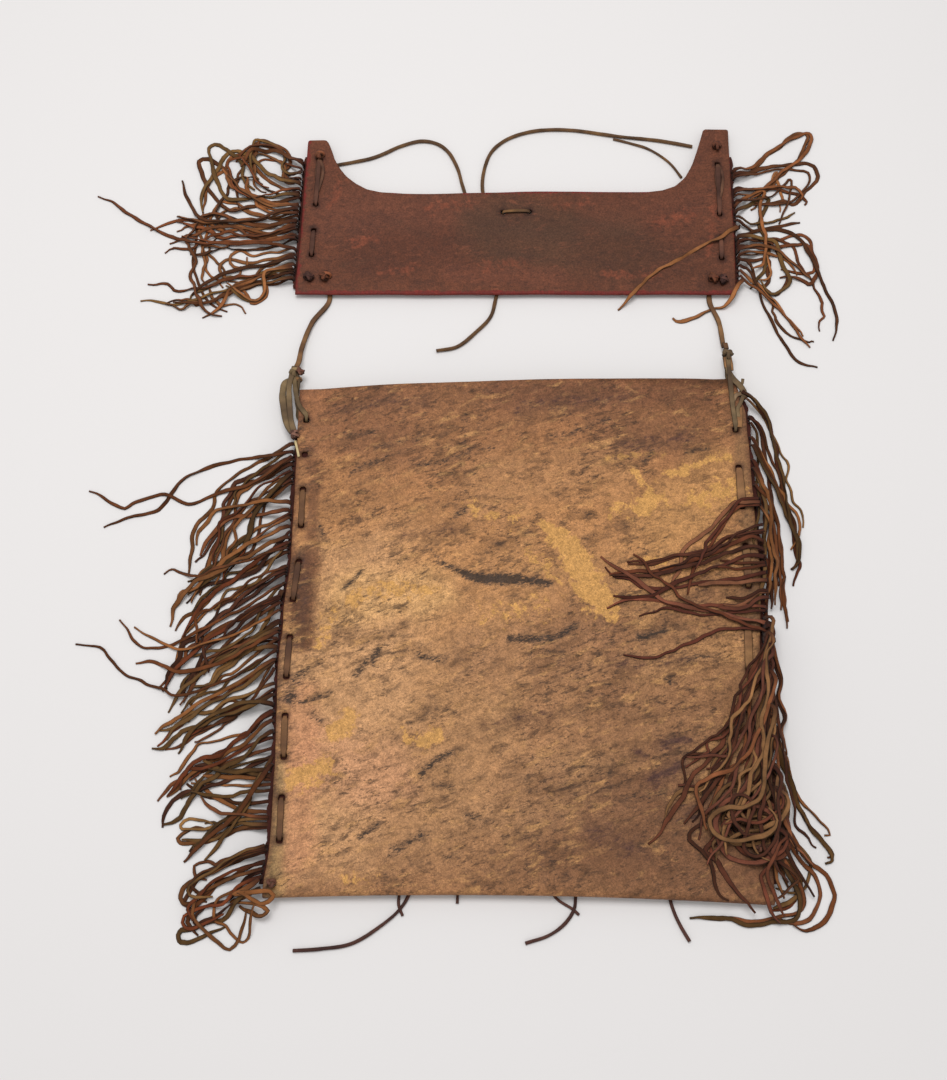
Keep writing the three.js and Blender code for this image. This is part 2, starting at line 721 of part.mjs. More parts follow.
// The lacing of one side of the pouch, with a knot on the back at its last hole. Where the
// last stitch runs beneath, the thong first comes up through that hole.
function pouchLacing(holes) {
  const stitches = runningStitch(holes, stitchAbove, stitchBelow);
  const parts = [toSolid(strip(stitches, thongWidth, thongThickness))];
  const last = holes[holes.length - 1];
  const knotPoint = point(last.x, last.y, backTop + clearance + smallKnot * 0.9);
  parts.push(knot(knotPoint, smallKnot, 0.4));
  if (holes.length % 2 === 1) {
    const rise = [point(last.x, last.y, stitchBelow), knotPoint];
    parts.push(toSolid(strip(rise, thongThickness, thongThickness)));
  }
  return wasm.Manifold.union(parts);
}

// Hinge line of the panel: it passes through the two tie knots
const leftTieKnot = point(leftEdge(pouchTop) - 4, pouchTop + 8, 10);
const rightTieKnot = point(rightEdge(pouchTop) - 4, pouchTop + 21.5, 10);

// The thong through the first hole of a side. It runs over the back to the tie knot, and from
// beneath the front it comes round the side edge, or round the mouth, to the same knot.
function cornerStrap(knotPoint, hole, way) {
  const above = stitchAbove;
  const reach = strapWidth / 2 + clearance + 1.2;
  const rim = way.edge(hole.y + 16) + way.outward * reach;
  const roundSide = [
    point(hole.x + way.outward * 2.4, hole.y + 2, stitchBelow),
    point(hole.x + way.outward * 6, hole.y + 5, stitchBelow),
    point(rim, hole.y + 11, stitchBelow),
    point(rim + way.outward, hole.y + 16, stitchBelow + 1),
    point(rim + way.outward, hole.y + 22, headingMiddle),
    point(rim, hole.y + 28, above),
  ];
  const roundMouth = [
    point(hole.x, hole.y + 2.8, stitchBelow),
    point(hole.x + way.outward * 2, hole.y + 20, stitchBelow),
    point(mix(hole.x, knotPoint.x, 0.7), pouchTop + mouthSkew / 2 + 4, stitchBelow),
    point(knotPoint.x, knotPoint.y - 8, headingMiddle - 1),
  ];
  const run = [
    knotPoint,
    point(mix(knotPoint.x, hole.x, 0.4), mix(knotPoint.y, hole.y, 0.3), above + 0.5),
    point(mix(knotPoint.x, hole.x, 0.9), mix(knotPoint.y, hole.y, 0.7), above),
    point(hole.x, hole.y + 2.6, above),
    point(hole.x, hole.y, above - 0.9),
    point(hole.x, hole.y, stitchBelow + 0.8),
    ...(way.roundSide ? roundSide : roundMouth),
    knotPoint,
  ];
  const tieKnot = knot(knotPoint, knotRadius, 0.3, 0.92);
  return toSolid(strip(run, strapWidth, thongThickness)).add(tieKnot);
}

const nodes = new THREE.Group();

function addNode(name, solid, colour, roughness) {
  const material = new THREE.MeshStandardMaterial({ color: colour, roughness, metalness: 0 });
  const geometry = solid.isBufferGeometry ? solid : toGeometry(solid);
  const mesh = new THREE.Mesh(geometry, material);
  mesh.name = name;
  nodes.add(mesh);
}

const shell = cutAll(pouchShell(), [...leftHoles, ...rightHoles]);
addNode("pouch_shell", shell, rawhideColour, 0.6);

addNode("left_fringe", pouchFringe(
  leftEdge, -1, [0.02, 0.89], leftHoles, leftComb, leftStrands, leftStray, [],
), fringeColour, 0.85);
addNode("right_fringe", pouchFringe(
  rightEdge, 1, [0.02, 0.975], rightHoles, rightComb, rightStrands, rightStray,
  [...rightFolded, ...rightBundle],
), fringeColour, 0.85);

// The left lacing starts at the third hole, below the strap of its corner
addNode("left_lacing", pouchLacing(leftHoles.slice(2)), thongColour, 0.75);
addNode("right_lacing", pouchLacing(rightHoles.slice(1)), thongColour, 0.75);

const leftWay = { edge: leftEdge, outward: -1, roundSide: true };
const rightWay = { edge: rightEdge, outward: 1, roundSide: false };
addNode("left_corner_strap", cornerStrap(leftTieKnot, leftHoles[0], leftWay), strapColour, 0.75);
addNode("right_corner_strap", cornerStrap(rightTieKnot, rightHoles[0], rightWay), strapColour, 0.75);

addNode("cover_panel", coverPanel(), panelColour, 0.6);
addNode("panel_left_fringe", panelFringe(
  panelLeftEdge, -1, [...panelLeftHoles, leftTieHole], panelLeftComb, panelLeftStrands,
  panelLeftStray, [],
), panelFringeColour, 0.85);
addNode("panel_right_fringe", panelFringe(
  panelRightEdge, 1, [...panelRightHoles, rightTieHole], panelRightComb, panelRightStrands,
  panelRightStray, panelRightLaid,
), panelFringeColour, 0.85);

// The lacing of one end of the panel, with a knot on its face at the first and last holes
function panelLacing(holes, turned) {
  const run = runningStitch(holes, panelStitchAbove, panelStitchBelow);
  const last = holes[holes.length - 1];
  const knotHeight = panelTop + clearance + smallKnot * 0.85;
  const first = knot(point(holes[0].x, holes[0].y + 1, knotHeight), smallKnot, turned);
  const rise = toSolid(strip([
    point(last.x, last.y, panelStitchBelow),
    point(last.x, last.y, knotHeight),
  ], thongThickness, thongThickness));
  const end = knot(point(last.x, last.y, knotHeight), smallKnot, turned + 1);
  return wasm.Manifold.union([toSolid(strip(run, thongWidth, thongThickness)), first, rise, end]);
}

addNode("panel_left_lacing", panelLacing(panelLeftHoles, 0.2), thongColour, 0.75);
addNode("panel_right_lacing", panelLacing(panelRightHoles, 0.9), thongColour, 0.75);

// A tie: from its knot on the face of the panel, down through a hole, out beneath the bottom
// edge and up to the tie knot, where it stops just short of the knot that it turns in
function tieThong(hole, knotPoint, sway) {
  const knotHeight = panelTop + clearance + smallKnot * 0.85;
  const shortOf = knotRadius + clearance / 2;
  const way = new THREE.Vector2(hole.x - knotPoint.x, hole.y - knotPoint.y).normalize();
  const low = cordDiameter / 2;
  const points = [
    point(hole.x, hole.y, knotHeight),
    point(hole.x, hole.y, panelStitchBelow + 1.4),
    point(hole.x + sway * 0.3, hole.y - 2, panelStitchBelow),
    point(hole.x + sway, panelBottom - 3, low),
    point(mix(hole.x, knotPoint.x, 0.45), panelBottom - panelGap * 0.29, low + 1),
    point(mix(hole.x, knotPoint.x, 0.8), panelBottom - panelGap * 0.57, low + 3),
    point(knotPoint.x + way.x * (shortOf + 5), knotPoint.y + way.y * (shortOf + 5), 7),
    point(knotPoint.x + way.x * shortOf, knotPoint.y + way.y * shortOf, knotPoint.z - 1),
  ];
  const run = toSolid(strip(points, thongThickness * 2, thongThickness));
  return run.add(knot(point(hole.x, hole.y, knotHeight), smallKnot, 0.7));
}

addNode("left_tie_thong", tieThong(leftTieHole, leftTieKnot, 3), thongColour, 0.75);
addNode("right_tie_thong", tieThong(rightTieHole, rightTieKnot, -3), thongColour, 0.75);

// The carrying thong's stitch through the two slits in the middle of the panel
function carryStitch() {
  const [from, to] = slits;
  const low = cordDiameter / 2 + 0.1;
  const points = [
    point(from.x - 7, from.y, low),
    point(from.x - 2, from.y, low),
    point(from.x, from.y, panelRise),
    point(from.x, from.y, panelTop),
    point(from.x + 1.9, from.y, panelStitchAbove),
    point(to.x - 1.9, to.y, panelStitchAbove),
    point(to.x, to.y, panelTop),
    point(to.x, to.y, panelRise),
    point(to.x, to.y - 2, low),
    point(to.x - 1, to.y - 7, low),
  ];
  return toSolid(strip(points, cordDiameter, thongThickness));
}

addNode("carry_stitch", carryStitch(), thongColour, 0.75);

// Free thongs lie on the ground. Their points were chosen by hand, in x and y.
const carryLeftRoute = [
  [-126.6, 336], [-112, 339], [-100, 342], [-90, 346.5], [-80, 352], [-65, 356.5],
  [-54, 354.5], [-46, 348], [-39, 334], [-35, 318], [-30, 303], [-22, 296], [-14.4, 294.5],
];
const carryRightRoute = [
  [-17.5, 300], [-21, 313], [-20.8, 328], [-15.6, 346], [-8, 355], [2, 361], [18, 365.5],
  [41.5, 366], [73, 361], [104, 357], [128, 352],
];
const carryTailRoute = [
  [9.8, 287], [2, 274], [-7, 252], [-12.4, 229], [-16, 215], [-26, 203], [-38.6, 192], [-52.5, 189],
];
const thinEndRoute = [[72, 358.6], [84, 355], [97, 350], [107, 342.5], [113, 336], [119, 326]];
const frontTieRoutes = {
  front_tie_long: [
    [-63, -157], [-64.9, -164], [-70, -172], [-79, -180], [-97, -191], [-115, -194], [-130.7, -195],
  ],
  front_tie_middle: [
    [32, -157], [31.4, -165], [30.4, -172], [25, -180], [15.8, -186.5], [2, -191],
  ],
  front_tie_right: [[85, -160], [86, -167], [88, -174], [91, -181], [96, -190]],
};

// A round thong along its route: eight sides, with a step every two or three diameters
function freeThong(route, diameter) {
  const points = route.map(([x, y]) => point(x, y, diameter / 2 + 0.05));
  const path = new THREE.CatmullRomCurve3(points, false, "centripetal");
  const corners = [];
  for (let k = 0; k < 8; k += 1) {
    const turn = (k + 0.5) * Math.PI / 4;
    corners.push(new THREE.Vector2(Math.cos(turn), Math.sin(turn)).multiplyScalar(diameter / 2));
  }
  const steps = Math.min(80, Math.ceil(path.getLength() / (3.4 * diameter)));
  const settings = { steps, bevelEnabled: false, extrudePath: path };
  return new THREE.ExtrudeGeometry(new THREE.Shape(corners), settings);
}

addNode("carry_thong_left", freeThong(carryLeftRoute, cordDiameter), thongColour, 0.75);
addNode("carry_thong_right", freeThong(carryRightRoute, cordDiameter), thongColour, 0.75);
addNode("carry_thong_tail", freeThong(carryTailRoute, cordDiameter), thongColour, 0.75);
addNode("carry_thong_end", freeThong(thinEndRoute, thinDiameter), thongColour, 0.75);
for (const [name, route] of Object.entries(frontTieRoutes)) {
  addNode(name, freeThong(route, tieDiameter), thongColour, 0.75);
}

export default nodes;
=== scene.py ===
# %% [markdown]
# A parfleche envelope in Blender.
# A parfleche is a flat case folded from rawhide, which is hide that was scraped and dried and
# never tanned. This one is a pouch laced along both sides over fringed strips of smoked
# buckskin. A second piece of rawhide, with a horn at each end, is tied to its upper corners.
# The plain solids of the frame say where every piece is. We model the finished surfaces here.

# %% Load the frame
import math
import random
import bpy
import numpy as np
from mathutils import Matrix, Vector, noise


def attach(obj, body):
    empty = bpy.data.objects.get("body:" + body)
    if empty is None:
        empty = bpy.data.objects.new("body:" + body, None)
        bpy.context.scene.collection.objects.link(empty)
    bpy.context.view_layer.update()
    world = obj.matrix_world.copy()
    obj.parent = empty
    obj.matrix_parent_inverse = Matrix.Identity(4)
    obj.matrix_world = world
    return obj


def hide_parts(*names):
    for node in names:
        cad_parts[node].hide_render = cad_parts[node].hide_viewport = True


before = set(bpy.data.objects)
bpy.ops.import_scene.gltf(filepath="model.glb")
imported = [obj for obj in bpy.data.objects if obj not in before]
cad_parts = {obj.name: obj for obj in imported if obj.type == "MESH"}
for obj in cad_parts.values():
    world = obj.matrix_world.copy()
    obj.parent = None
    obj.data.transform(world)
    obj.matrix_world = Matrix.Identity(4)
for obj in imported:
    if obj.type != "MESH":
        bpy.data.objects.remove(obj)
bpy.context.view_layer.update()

# %% [markdown]
# Units and small helpers.
# The sizes of this object are a few millimetres, so we write them in millimetres and scale
# them once, when a mesh is made. Colours are written as sRGB hex values, which is how a
# painter's colour chart gives them, and one function turns them into Blender's linear values.

# %% Units, colours and chance
MM = 0.001


def srgb(code):
    """The three parts of a hex colour, from 0 to 1."""
    return np.array([int(code[i:i + 2], 16) / 255 for i in (0, 2, 4)])


def to_linear(colour):
    """Turn sRGB values from 0 to 1 into linear values."""
    colour = np.clip(np.asarray(colour, dtype=float), 0, 1)
    return np.where(colour <= 0.04045, colour / 12.92, ((colour + 0.055) / 1.055) ** 2.4)


def linear(code):
    """A hex colour as the linear red, green, blue and alpha of a socket."""
    return (*to_linear(srgb(code)), 1.0)


def mix(a, b, share):
    return a + (b - a) * share


def smooth(share):
    share = min(1.0, max(0.0, share))
    return share * share * (3 - 2 * share)


def waver(x, y, seed, size):
    """Smooth noise from -1 to 1 whose bumps are about size millimetres across."""
    return noise.noise(Vector((x / size + seed * 7.31, y / size - seed * 3.17, seed * 1.93)))


# %% [markdown]
# One helper adds a shader node, sets it and links it. Every material below is built from it,
# so that each line of a material reads as one step of the finish.

# %% A helper for shader nodes
def add_node(tree, kind, settings=None, inputs=None):
    node = tree.nodes.new(kind)
    for name, value in (settings or {}).items():
        setattr(node, name, value)
    for name, value in (inputs or {}).items():
        if isinstance(value, bpy.types.NodeSocket):
            tree.links.new(value, node.inputs[name])
        else:
            node.inputs[name].default_value = value
    return node


def new_material(name, roughness, specular):
    material = bpy.data.materials.new(name)
    material.use_nodes = True
    tree = material.node_tree
    shader = tree.nodes["Principled BSDF"]
    shader.inputs["Roughness"].default_value = roughness
    shader.inputs["Specular IOR Level"].default_value = specular
    return material, tree, shader


# %% [markdown]
# The camera looks down on the envelope from 70 degrees, as the photographer did. The distance
# and the lens were found from how much the pouch narrows towards its far end.

# %% Camera
IMAGE_HEIGHT = 1080
FOCAL_PIXELS = 1325
TARGET = Vector((-27.6, 54.65, 0)) * MM
ELEVATION = math.radians(70)
DISTANCE = 842 * MM
camera_data = bpy.data.cameras.new("camera")
camera_data.sensor_width = 36
camera_data.lens = FOCAL_PIXELS / IMAGE_HEIGHT * camera_data.sensor_width
camera = bpy.data.objects.new("camera", camera_data)
camera.location = TARGET + DISTANCE * Vector((0, -math.cos(ELEVATION), math.sin(ELEVATION)))
camera.rotation_euler = (math.pi / 2 - ELEVATION, 0, 0)
bpy.context.collection.objects.link(camera)
bpy.context.scene.camera = camera
print("lens:", round(camera_data.lens, 1), "mm")


# %% [markdown]
# Routes and sweeps.
# Everything long and thin here, from a lacing thong to a strand of fringe, is a flat section
# carried along a path. Blender's curve bevel could do it, but its section keeps one shape. A
# cut thong swells, thins and rolls over, so we sweep the section ourselves, ring by ring.

# %% Smooth routes
CURVE_STEP = 0.4


def smooth_path(points, spacing):
    """Evenly spaced points on a smooth curve through given points."""
    points = [Vector(p) if len(p) == 3 else Vector((p[0], p[1], 0)) for p in points]
    ends = [2 * points[0] - points[1], *points, 2 * points[-1] - points[-2]]
    dense = []
    for before, a, b, after in zip(ends, ends[1:], ends[2:], ends[3:]):
        steps = max(2, int((b - a).length / CURVE_STEP))
        for i in range(steps):
            dense.append(catmull(before, a, b, after, i / steps))
    dense.append(points[-1].copy())
    return even(dense, spacing)


def catmull(before, a, b, after, share):
    """A point between a and b on a centripetal Catmull-Rom curve."""
    t1 = max(1e-4, (a - before).length ** 0.5)
    t2 = t1 + max(1e-4, (b - a).length ** 0.5)
    t3 = t2 + max(1e-4, (after - b).length ** 0.5)
    t = mix(t1, t2, share)
    first = before.lerp(a, t / t1)
    second = a.lerp(b, (t - t1) / (t2 - t1))
    third = b.lerp(after, (t - t2) / (t3 - t2))
    near = first.lerp(second, t / t2)
    far = second.lerp(third, (t - t1) / (t3 - t1))
    return near.lerp(far, (t - t1) / (t2 - t1))


def even(points, spacing):
    lengths = [0.0]
    for a, b in zip(points, points[1:]):
        lengths.append(lengths[-1] + (b - a).length)
    count = max(2, round(lengths[-1] / spacing))
    result = []
    j = 0
    for i in range(count + 1):
        wanted = lengths[-1] * i / count
        while j < len(points) - 2 and lengths[j + 1] < wanted:
            j += 1
        gap = max(1e-9, lengths[j + 1] - lengths[j])
        result.append(points[j].lerp(points[j + 1], min(1, (wanted - lengths[j]) / gap)))
    return result


def path_length(points):
    return sum((b - a).length for a, b in zip(points, points[1:]))


# %% [markdown]
# The section has a few points, pressed outward so that it is nearly a rectangle with worn
# corners. It stays level where the path runs flat, and where the path goes straight down
# through a hole it keeps the side that it had before. Each ring of points can get painted
# shade at its two cut edges and a painted lighter face between them.

# %% A swept strip
LEVEL_ENOUGH = 0.35


def sweep(path, width, thickness, twist, sides, closed=False, bluntness=0.75):
    """Rings of a flat section along a path: points and faces. A low bluntness is squarer."""
    count = len(path)
    widths = width if isinstance(width, list) else [width] * count
    depths = thickness if isinstance(thickness, list) else [thickness] * count
    twists = twist or [0.0] * count
    side = Vector((0, 1, 0))
    points = []
    for i, place in enumerate(path):
        before = path[i - 1] if i or closed else path[0]
        after = path[(i + 1) % count] if i < count - 1 or closed else path[-1]
        run = (after - before).normalized()
        level = Vector((-run.y, run.x, 0))
        if level.length > LEVEL_ENOUGH:
            side = level
        side = (side - run * side.dot(run)).normalized()
        up = run.cross(side)
        turn = twists[i]
        across = side * math.cos(turn) + up * math.sin(turn)
        over = up * math.cos(turn) - side * math.sin(turn)
        for k in range(sides):
            angle = 2 * math.pi * (k + 0.5) / sides
            c, s = math.cos(angle), math.sin(angle)
            c = math.copysign(abs(c) ** bluntness, c)
            s = math.copysign(abs(s) ** bluntness, s)
            points.append(place + across * (c * widths[i] / 2) + over * (s * depths[i] / 2))
    faces = []
    rings = count if closed else count - 1
    for i in range(rings):
        a = i * sides
        b = (i + 1) % count * sides
        for k in range(sides):
            n = (k + 1) % sides
            faces.append((a + k, a + n, b + n, b + k))
    if not closed:
        faces.append(tuple(reversed(range(sides))))
        faces.append(tuple(range((count - 1) * sides, count * sides)))
    return points, faces


def ring_tints(colours, sides, edge=1.0, face=1.0):
    """One colour for each ring becomes one for each point, with painted shade at the cut edges."""
    half = sides // 2
    # edge scales the colour as painted shade at the two cut edges, face as painted light between
    # them
    shades = [edge if k in (0, half - 1, half, sides - 1) else face for k in range(sides)]
    return [np.clip(colour * shade, 0.02, 0.9) for colour in colours for shade in shades]


# %% [markdown]
# A piece is gathered in millimetres, strip by strip, and becomes one mesh at the end. Its colour
# lies on its points, in a layer that the finishes read, because a strand has its own colour
# and changes along its length. Sheets are painted later, so they start without one.

# %% Pieces
class Shape:
    """Points, faces and colours of one piece, gathered in millimetres."""

    def __init__(self):
        self.points = []
        self.faces = []
        self.tints = []

    def add(self, points, faces, tints=(0.5, 0.5, 0.5)):
        start = len(self.points)
        self.points.extend(points)
        self.faces.extend(tuple(start + i for i in face) for face in faces)
        if not isinstance(tints, list):
            tints = [tints] * len(points)
        self.tints.extend(tints)

    def piece(self, name, material):
        mesh = bpy.data.meshes.new(name)
        mesh.from_pydata([p * MM for p in self.points], [], self.faces)
        paint(mesh, "tint", to_linear(np.array(self.tints)))
        mesh.shade_smooth()
        mesh.materials.append(material)
        piece = bpy.data.objects.new(name, mesh)
        bpy.context.collection.objects.link(piece)
        print(name, len(self.faces), "faces")
        return piece


def paint(mesh, name, values):
    """Store three values for each point as a colour layer that the finishes read."""
    layer = mesh.color_attributes.new(name, "FLOAT_COLOR", "POINT")
    filled = np.ones((len(values), 4))
    filled[:, :3] = values
    layer.data.foreach_set("color", filled.ravel())


def seat(piece, body, slot, *nodes):
    """The piece rides on a body and stands for the named nodes. Its slot is not used."""
    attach(piece, body)
    if nodes:
        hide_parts(*nodes)


# %% [markdown]
# Hide finishes.
# Buckskin is brain tanned and smoked, so it is soft and matt. Each finish reads its colour from
# a layer that we paint on the points, called tint. Then it adds what is too fine for points:
# grain, pores and fibres, at their real size.

# %% Buckskin and thongs
def hide_material(name, roughness, grain, depth, mottle, specular, sheen=0.0):
    """Hide with a grain of the given size in millimetres, and cloudy mottling."""
    material, tree, shader = new_material(name, roughness, specular)
    shader.inputs["Sheen Weight"].default_value = sheen
    place = add_node(tree, "ShaderNodeTexCoord").outputs["Object"]
    tint = add_node(tree, "ShaderNodeVertexColor", {"layer_name": "tint"}).outputs["Color"]
    cloud, fine = [add_node(tree, "ShaderNodeTexNoise", None, {
        "Vector": place, "Scale": 1 / (size * MM), "Detail": detail, "Roughness": 0.65,
    }).outputs["Fac"] for size, detail in ((7, 5.0), (grain, 4.0))]
    both = add_node(tree, "ShaderNodeMath", {"operation": "ADD"}, {0: cloud, 1: fine}).outputs[0]
    value = add_node(tree, "ShaderNodeMapRange", None, {
        "Value": both, "From Min": 0.6, "From Max": 1.4,
        "To Min": 1 - mottle, "To Max": 1 + mottle,
    }).outputs[0]
    shade = add_node(tree, "ShaderNodeHueSaturation", None, {
        "Value": value, "Color": tint,
    }).outputs["Color"]
    tree.links.new(shade, shader.inputs["Base Color"])
    bump = add_node(tree, "ShaderNodeBump", None, {
        "Strength": 0.6, "Distance": depth * MM, "Height": fine,
    }).outputs["Normal"]
    tree.links.new(bump, shader.inputs["Normal"])
    return material


# After the name: roughness, grain in millimetres, depth of its bumps, mottling, gloss and sheen.
# Smoked buckskin: a soft nap, nearly without gloss, whose fibres give a light sheen
buckskin = hide_material("smoked_buckskin", 0.85, 0.9, 0.22, 0.30, 0.12, sheen=0.05)
# Thong cut from oily hide: darker in its creases and slightly shiny
thong_hide = hide_material("cut_hide_thong", 0.68, 0.8, 0.18, 0.26, 0.2)
print("hides:", buckskin.name, thong_hide.name)


# %% [markdown]
# Rawhide is skin that was soaked, scraped clean of hair, stretched and dried. It stays hard and
# a little polished. Three things give it its look. The hair roots leave short brown dashes that
# all lean one way. Grease, smoke and ochre leave stains with crisp, ragged edges. And pores and
# fine creases break up every colour.
# The stains are painted on the points as three soft fields, called marks: each field fades
# slowly from its middle. The finish adds ragged noise to a field and cuts it at one level, and
# that gives the crisp edge that the points alone are too coarse for.

# %% Rawhide
def scraped_hide(name, slant, dashes, paints, grains):
    """Rawhide with coloured hair dashes, and paints cut from its three fields of marks."""
    material, tree, shader = new_material(name, 0.58, 0.2)
    place = add_node(tree, "ShaderNodeTexCoord").outputs["Object"]
    colour = add_node(tree, "ShaderNodeVertexColor", {"layer_name": "tint"}).outputs["Color"]
    marks = add_node(tree, "ShaderNodeVertexColor", {"layer_name": "marks"}).outputs["Color"]
    fields = add_node(tree, "ShaderNodeSeparateColor", None, {0: marks}).outputs

    # Places drawn out along the slant of the hair, and four noises, by size in millimetres
    laid = add_node(tree, "ShaderNodeMapping", {"vector_type": "TEXTURE"}, {
        "Vector": place, "Rotation": (0, 0, slant), "Scale": (2.6, 1, 2.6),
    }).outputs[0]
    noises = {}
    for key, where, size in (
        ("region", place, 38), ("round", place, 5), ("streak", laid, 3), ("hair", laid, 1.1),
    ):
        noises[key] = add_node(tree, "ShaderNodeTexNoise", None, {
            "Vector": where, "Scale": 1 / (size * MM), "Detail": 6.0, "Roughness": 0.68,
        }).outputs["Fac"]

    # Hair dashes, strong in some regions and nearly absent in others
    region = add_node(tree, "ShaderNodeMapRange", {"interpolation_type": "SMOOTHSTEP"}, {
        "Value": noises["region"], "From Min": 0.38, "From Max": 0.6, "To Min": 0.3,
    }).outputs[0]
    for size, low, high, strength, code in dashes:
        dash = add_node(tree, "ShaderNodeTexNoise", None, {
            "Vector": laid, "Scale": 1 / (size * MM), "Detail": 7.0, "Roughness": 0.66,
            "Distortion": 0.5,
        }).outputs["Fac"]
        dash = add_node(tree, "ShaderNodeMapRange", {"interpolation_type": "SMOOTHSTEP"}, {
            "Value": dash, "From Min": low, "From Max": high, "To Max": strength,
        }).outputs[0]
        dash = add_node(tree, "ShaderNodeMath", {"operation": "MULTIPLY"}, {0: dash, 1: region})
        colour = add_node(tree, "ShaderNodeMix", {"data_type": "RGBA"}, {
            0: dash.outputs[0], 6: colour, 7: linear(code),
        }).outputs[2]

    # Stains: a noise is added to a field, and the sum is cut between two levels
    for number, key, gain, low, high, strength, code in paints:
        level = add_node(tree, "ShaderNodeMath", {"operation": "MULTIPLY_ADD"}, {
            0: noises[key], 1: gain, 2: fields[number],
        }).outputs[0]
        cover = add_node(tree, "ShaderNodeMapRange", {"interpolation_type": "SMOOTHSTEP"}, {
            "Value": level, "From Min": low + gain / 2, "From Max": high + gain / 2,
            "To Max": strength,
        }).outputs[0]
        colour = add_node(tree, "ShaderNodeMix", {"data_type": "RGBA"}, {
            0: cover, 6: colour, 7: linear(code),
        }).outputs[2]

    # Grain: pores, creases and dust, each a little lighter or darker than what it lies on
    for size, spread in grains:
        grain = add_node(tree, "ShaderNodeTexNoise", None, {
            "Vector": place, "Scale": 1 / (size * MM), "Detail": 4.0, "Roughness": 0.7,
        }).outputs["Fac"]
        value = add_node(tree, "ShaderNodeMapRange", None, {
            "Value": grain, "From Min": 0.3, "From Max": 0.7,
            "To Min": 1 - spread, "To Max": 1 + spread,
        }).outputs[0]
        colour = add_node(tree, "ShaderNodeHueSaturation", None, {
            "Value": value, "Color": colour,
        }).outputs["Color"]
    tree.links.new(colour, shader.inputs["Base Color"])

    # Handling polished the high places, and pores and hair roots left it slightly rough
    polish = add_node(tree, "ShaderNodeMapRange", None, {
        "Value": noises["round"], "From Min": 0.3, "From Max": 0.7, "To Min": 0.5, "To Max": 0.7,
    }).outputs[0]
    tree.links.new(polish, shader.inputs["Roughness"])
    creases = add_node(tree, "ShaderNodeMath", {"operation": "ADD"}, {
        0: grain, 1: noises["streak"],
    }).outputs[0]
    bump = add_node(tree, "ShaderNodeBump", None, {
        "Strength": 0.6, "Distance": 0.2 * MM, "Height": creases,
    }).outputs["Normal"]
    tree.links.new(bump, shader.inputs["Normal"])
    return material


# %% [markdown]
# The two hides differ in how they were used. The pouch was scraped pale and went brown where it
# was handled. The cover panel was rubbed all over with red paint, and soot darkened its middle.

# %% Two rawhides
SLANT = math.radians(18)
# Back of the pouch. Dashes: size in millimetres, two noise levels, strength and colour.
# Paints: field, noise, gain, two levels, strength and colour. Each stain has a soft halo first.
pouch_hide = scraped_hide("scraped_rawhide", SLANT, [
    (10, 0.48, 0.62, 0.55, "64442B"), (3.8, 0.49, 0.63, 0.72, "453022"),
    (6, 0.52, 0.66, 0.5, "CF9A60"), (1.5, 0.54, 0.63, 0.72, "33241B"),
], [
    (0, "round", 1.6, 0.25, 0.7, 0.5, "B98450"), (0, "round", 1.9, 0.44, 0.58, 0.72, "CD9955"),
    (1, "streak", 1.4, 0.2, 0.8, 0.5, "5A4232"), (1, "hair", 3.0, 0.55, 0.85, 0.85, "2C241F"),
    (2, "round", 1.8, 0.2, 0.75, 0.55, "5E4030"), (2, "streak", 2.2, 0.45, 0.85, 0.65, "42292A"),
], [(4.2, 0.24), (1.2, 0.34), (0.6, 0.2)])
# Cover panel: a darker skin under red paint. Its marks are rust, soot and crimson.
panel_hide = scraped_hide("red_rawhide", 0.1, [
    (12, 0.48, 0.64, 0.45, "4A2C22"), (2.2, 0.54, 0.68, 0.55, "2C1A14"),
    (3.2, 0.54, 0.68, 0.45, "8A5038"),
], [
    (0, "round", 2.0, 0.3, 0.85, 0.6, "80432E"), (1, "round", 2.0, 0.3, 0.9, 0.55, "422E24"),
    (2, "round", 1.4, 0.4, 0.65, 0.85, "6E2320"),
], [(5, 0.22), (1.2, 0.32), (0.6, 0.2)])
print("rawhides:", pouch_hide.name, panel_hide.name)


# %% [markdown]
# Free thongs.
# The carrying thong lies in loose arcs behind the panel, and three thin tie ends come out
# under the fold. Each is one strip of hide that was rolled between the fingers, so it is
# nearly round, but never even. The points were chosen along each thong, in metres.

# %% Free thongs
CARRY_WIDTH = 0.0024
TIE_WIDTH = 0.002
THIN_WIDTH = 0.0018
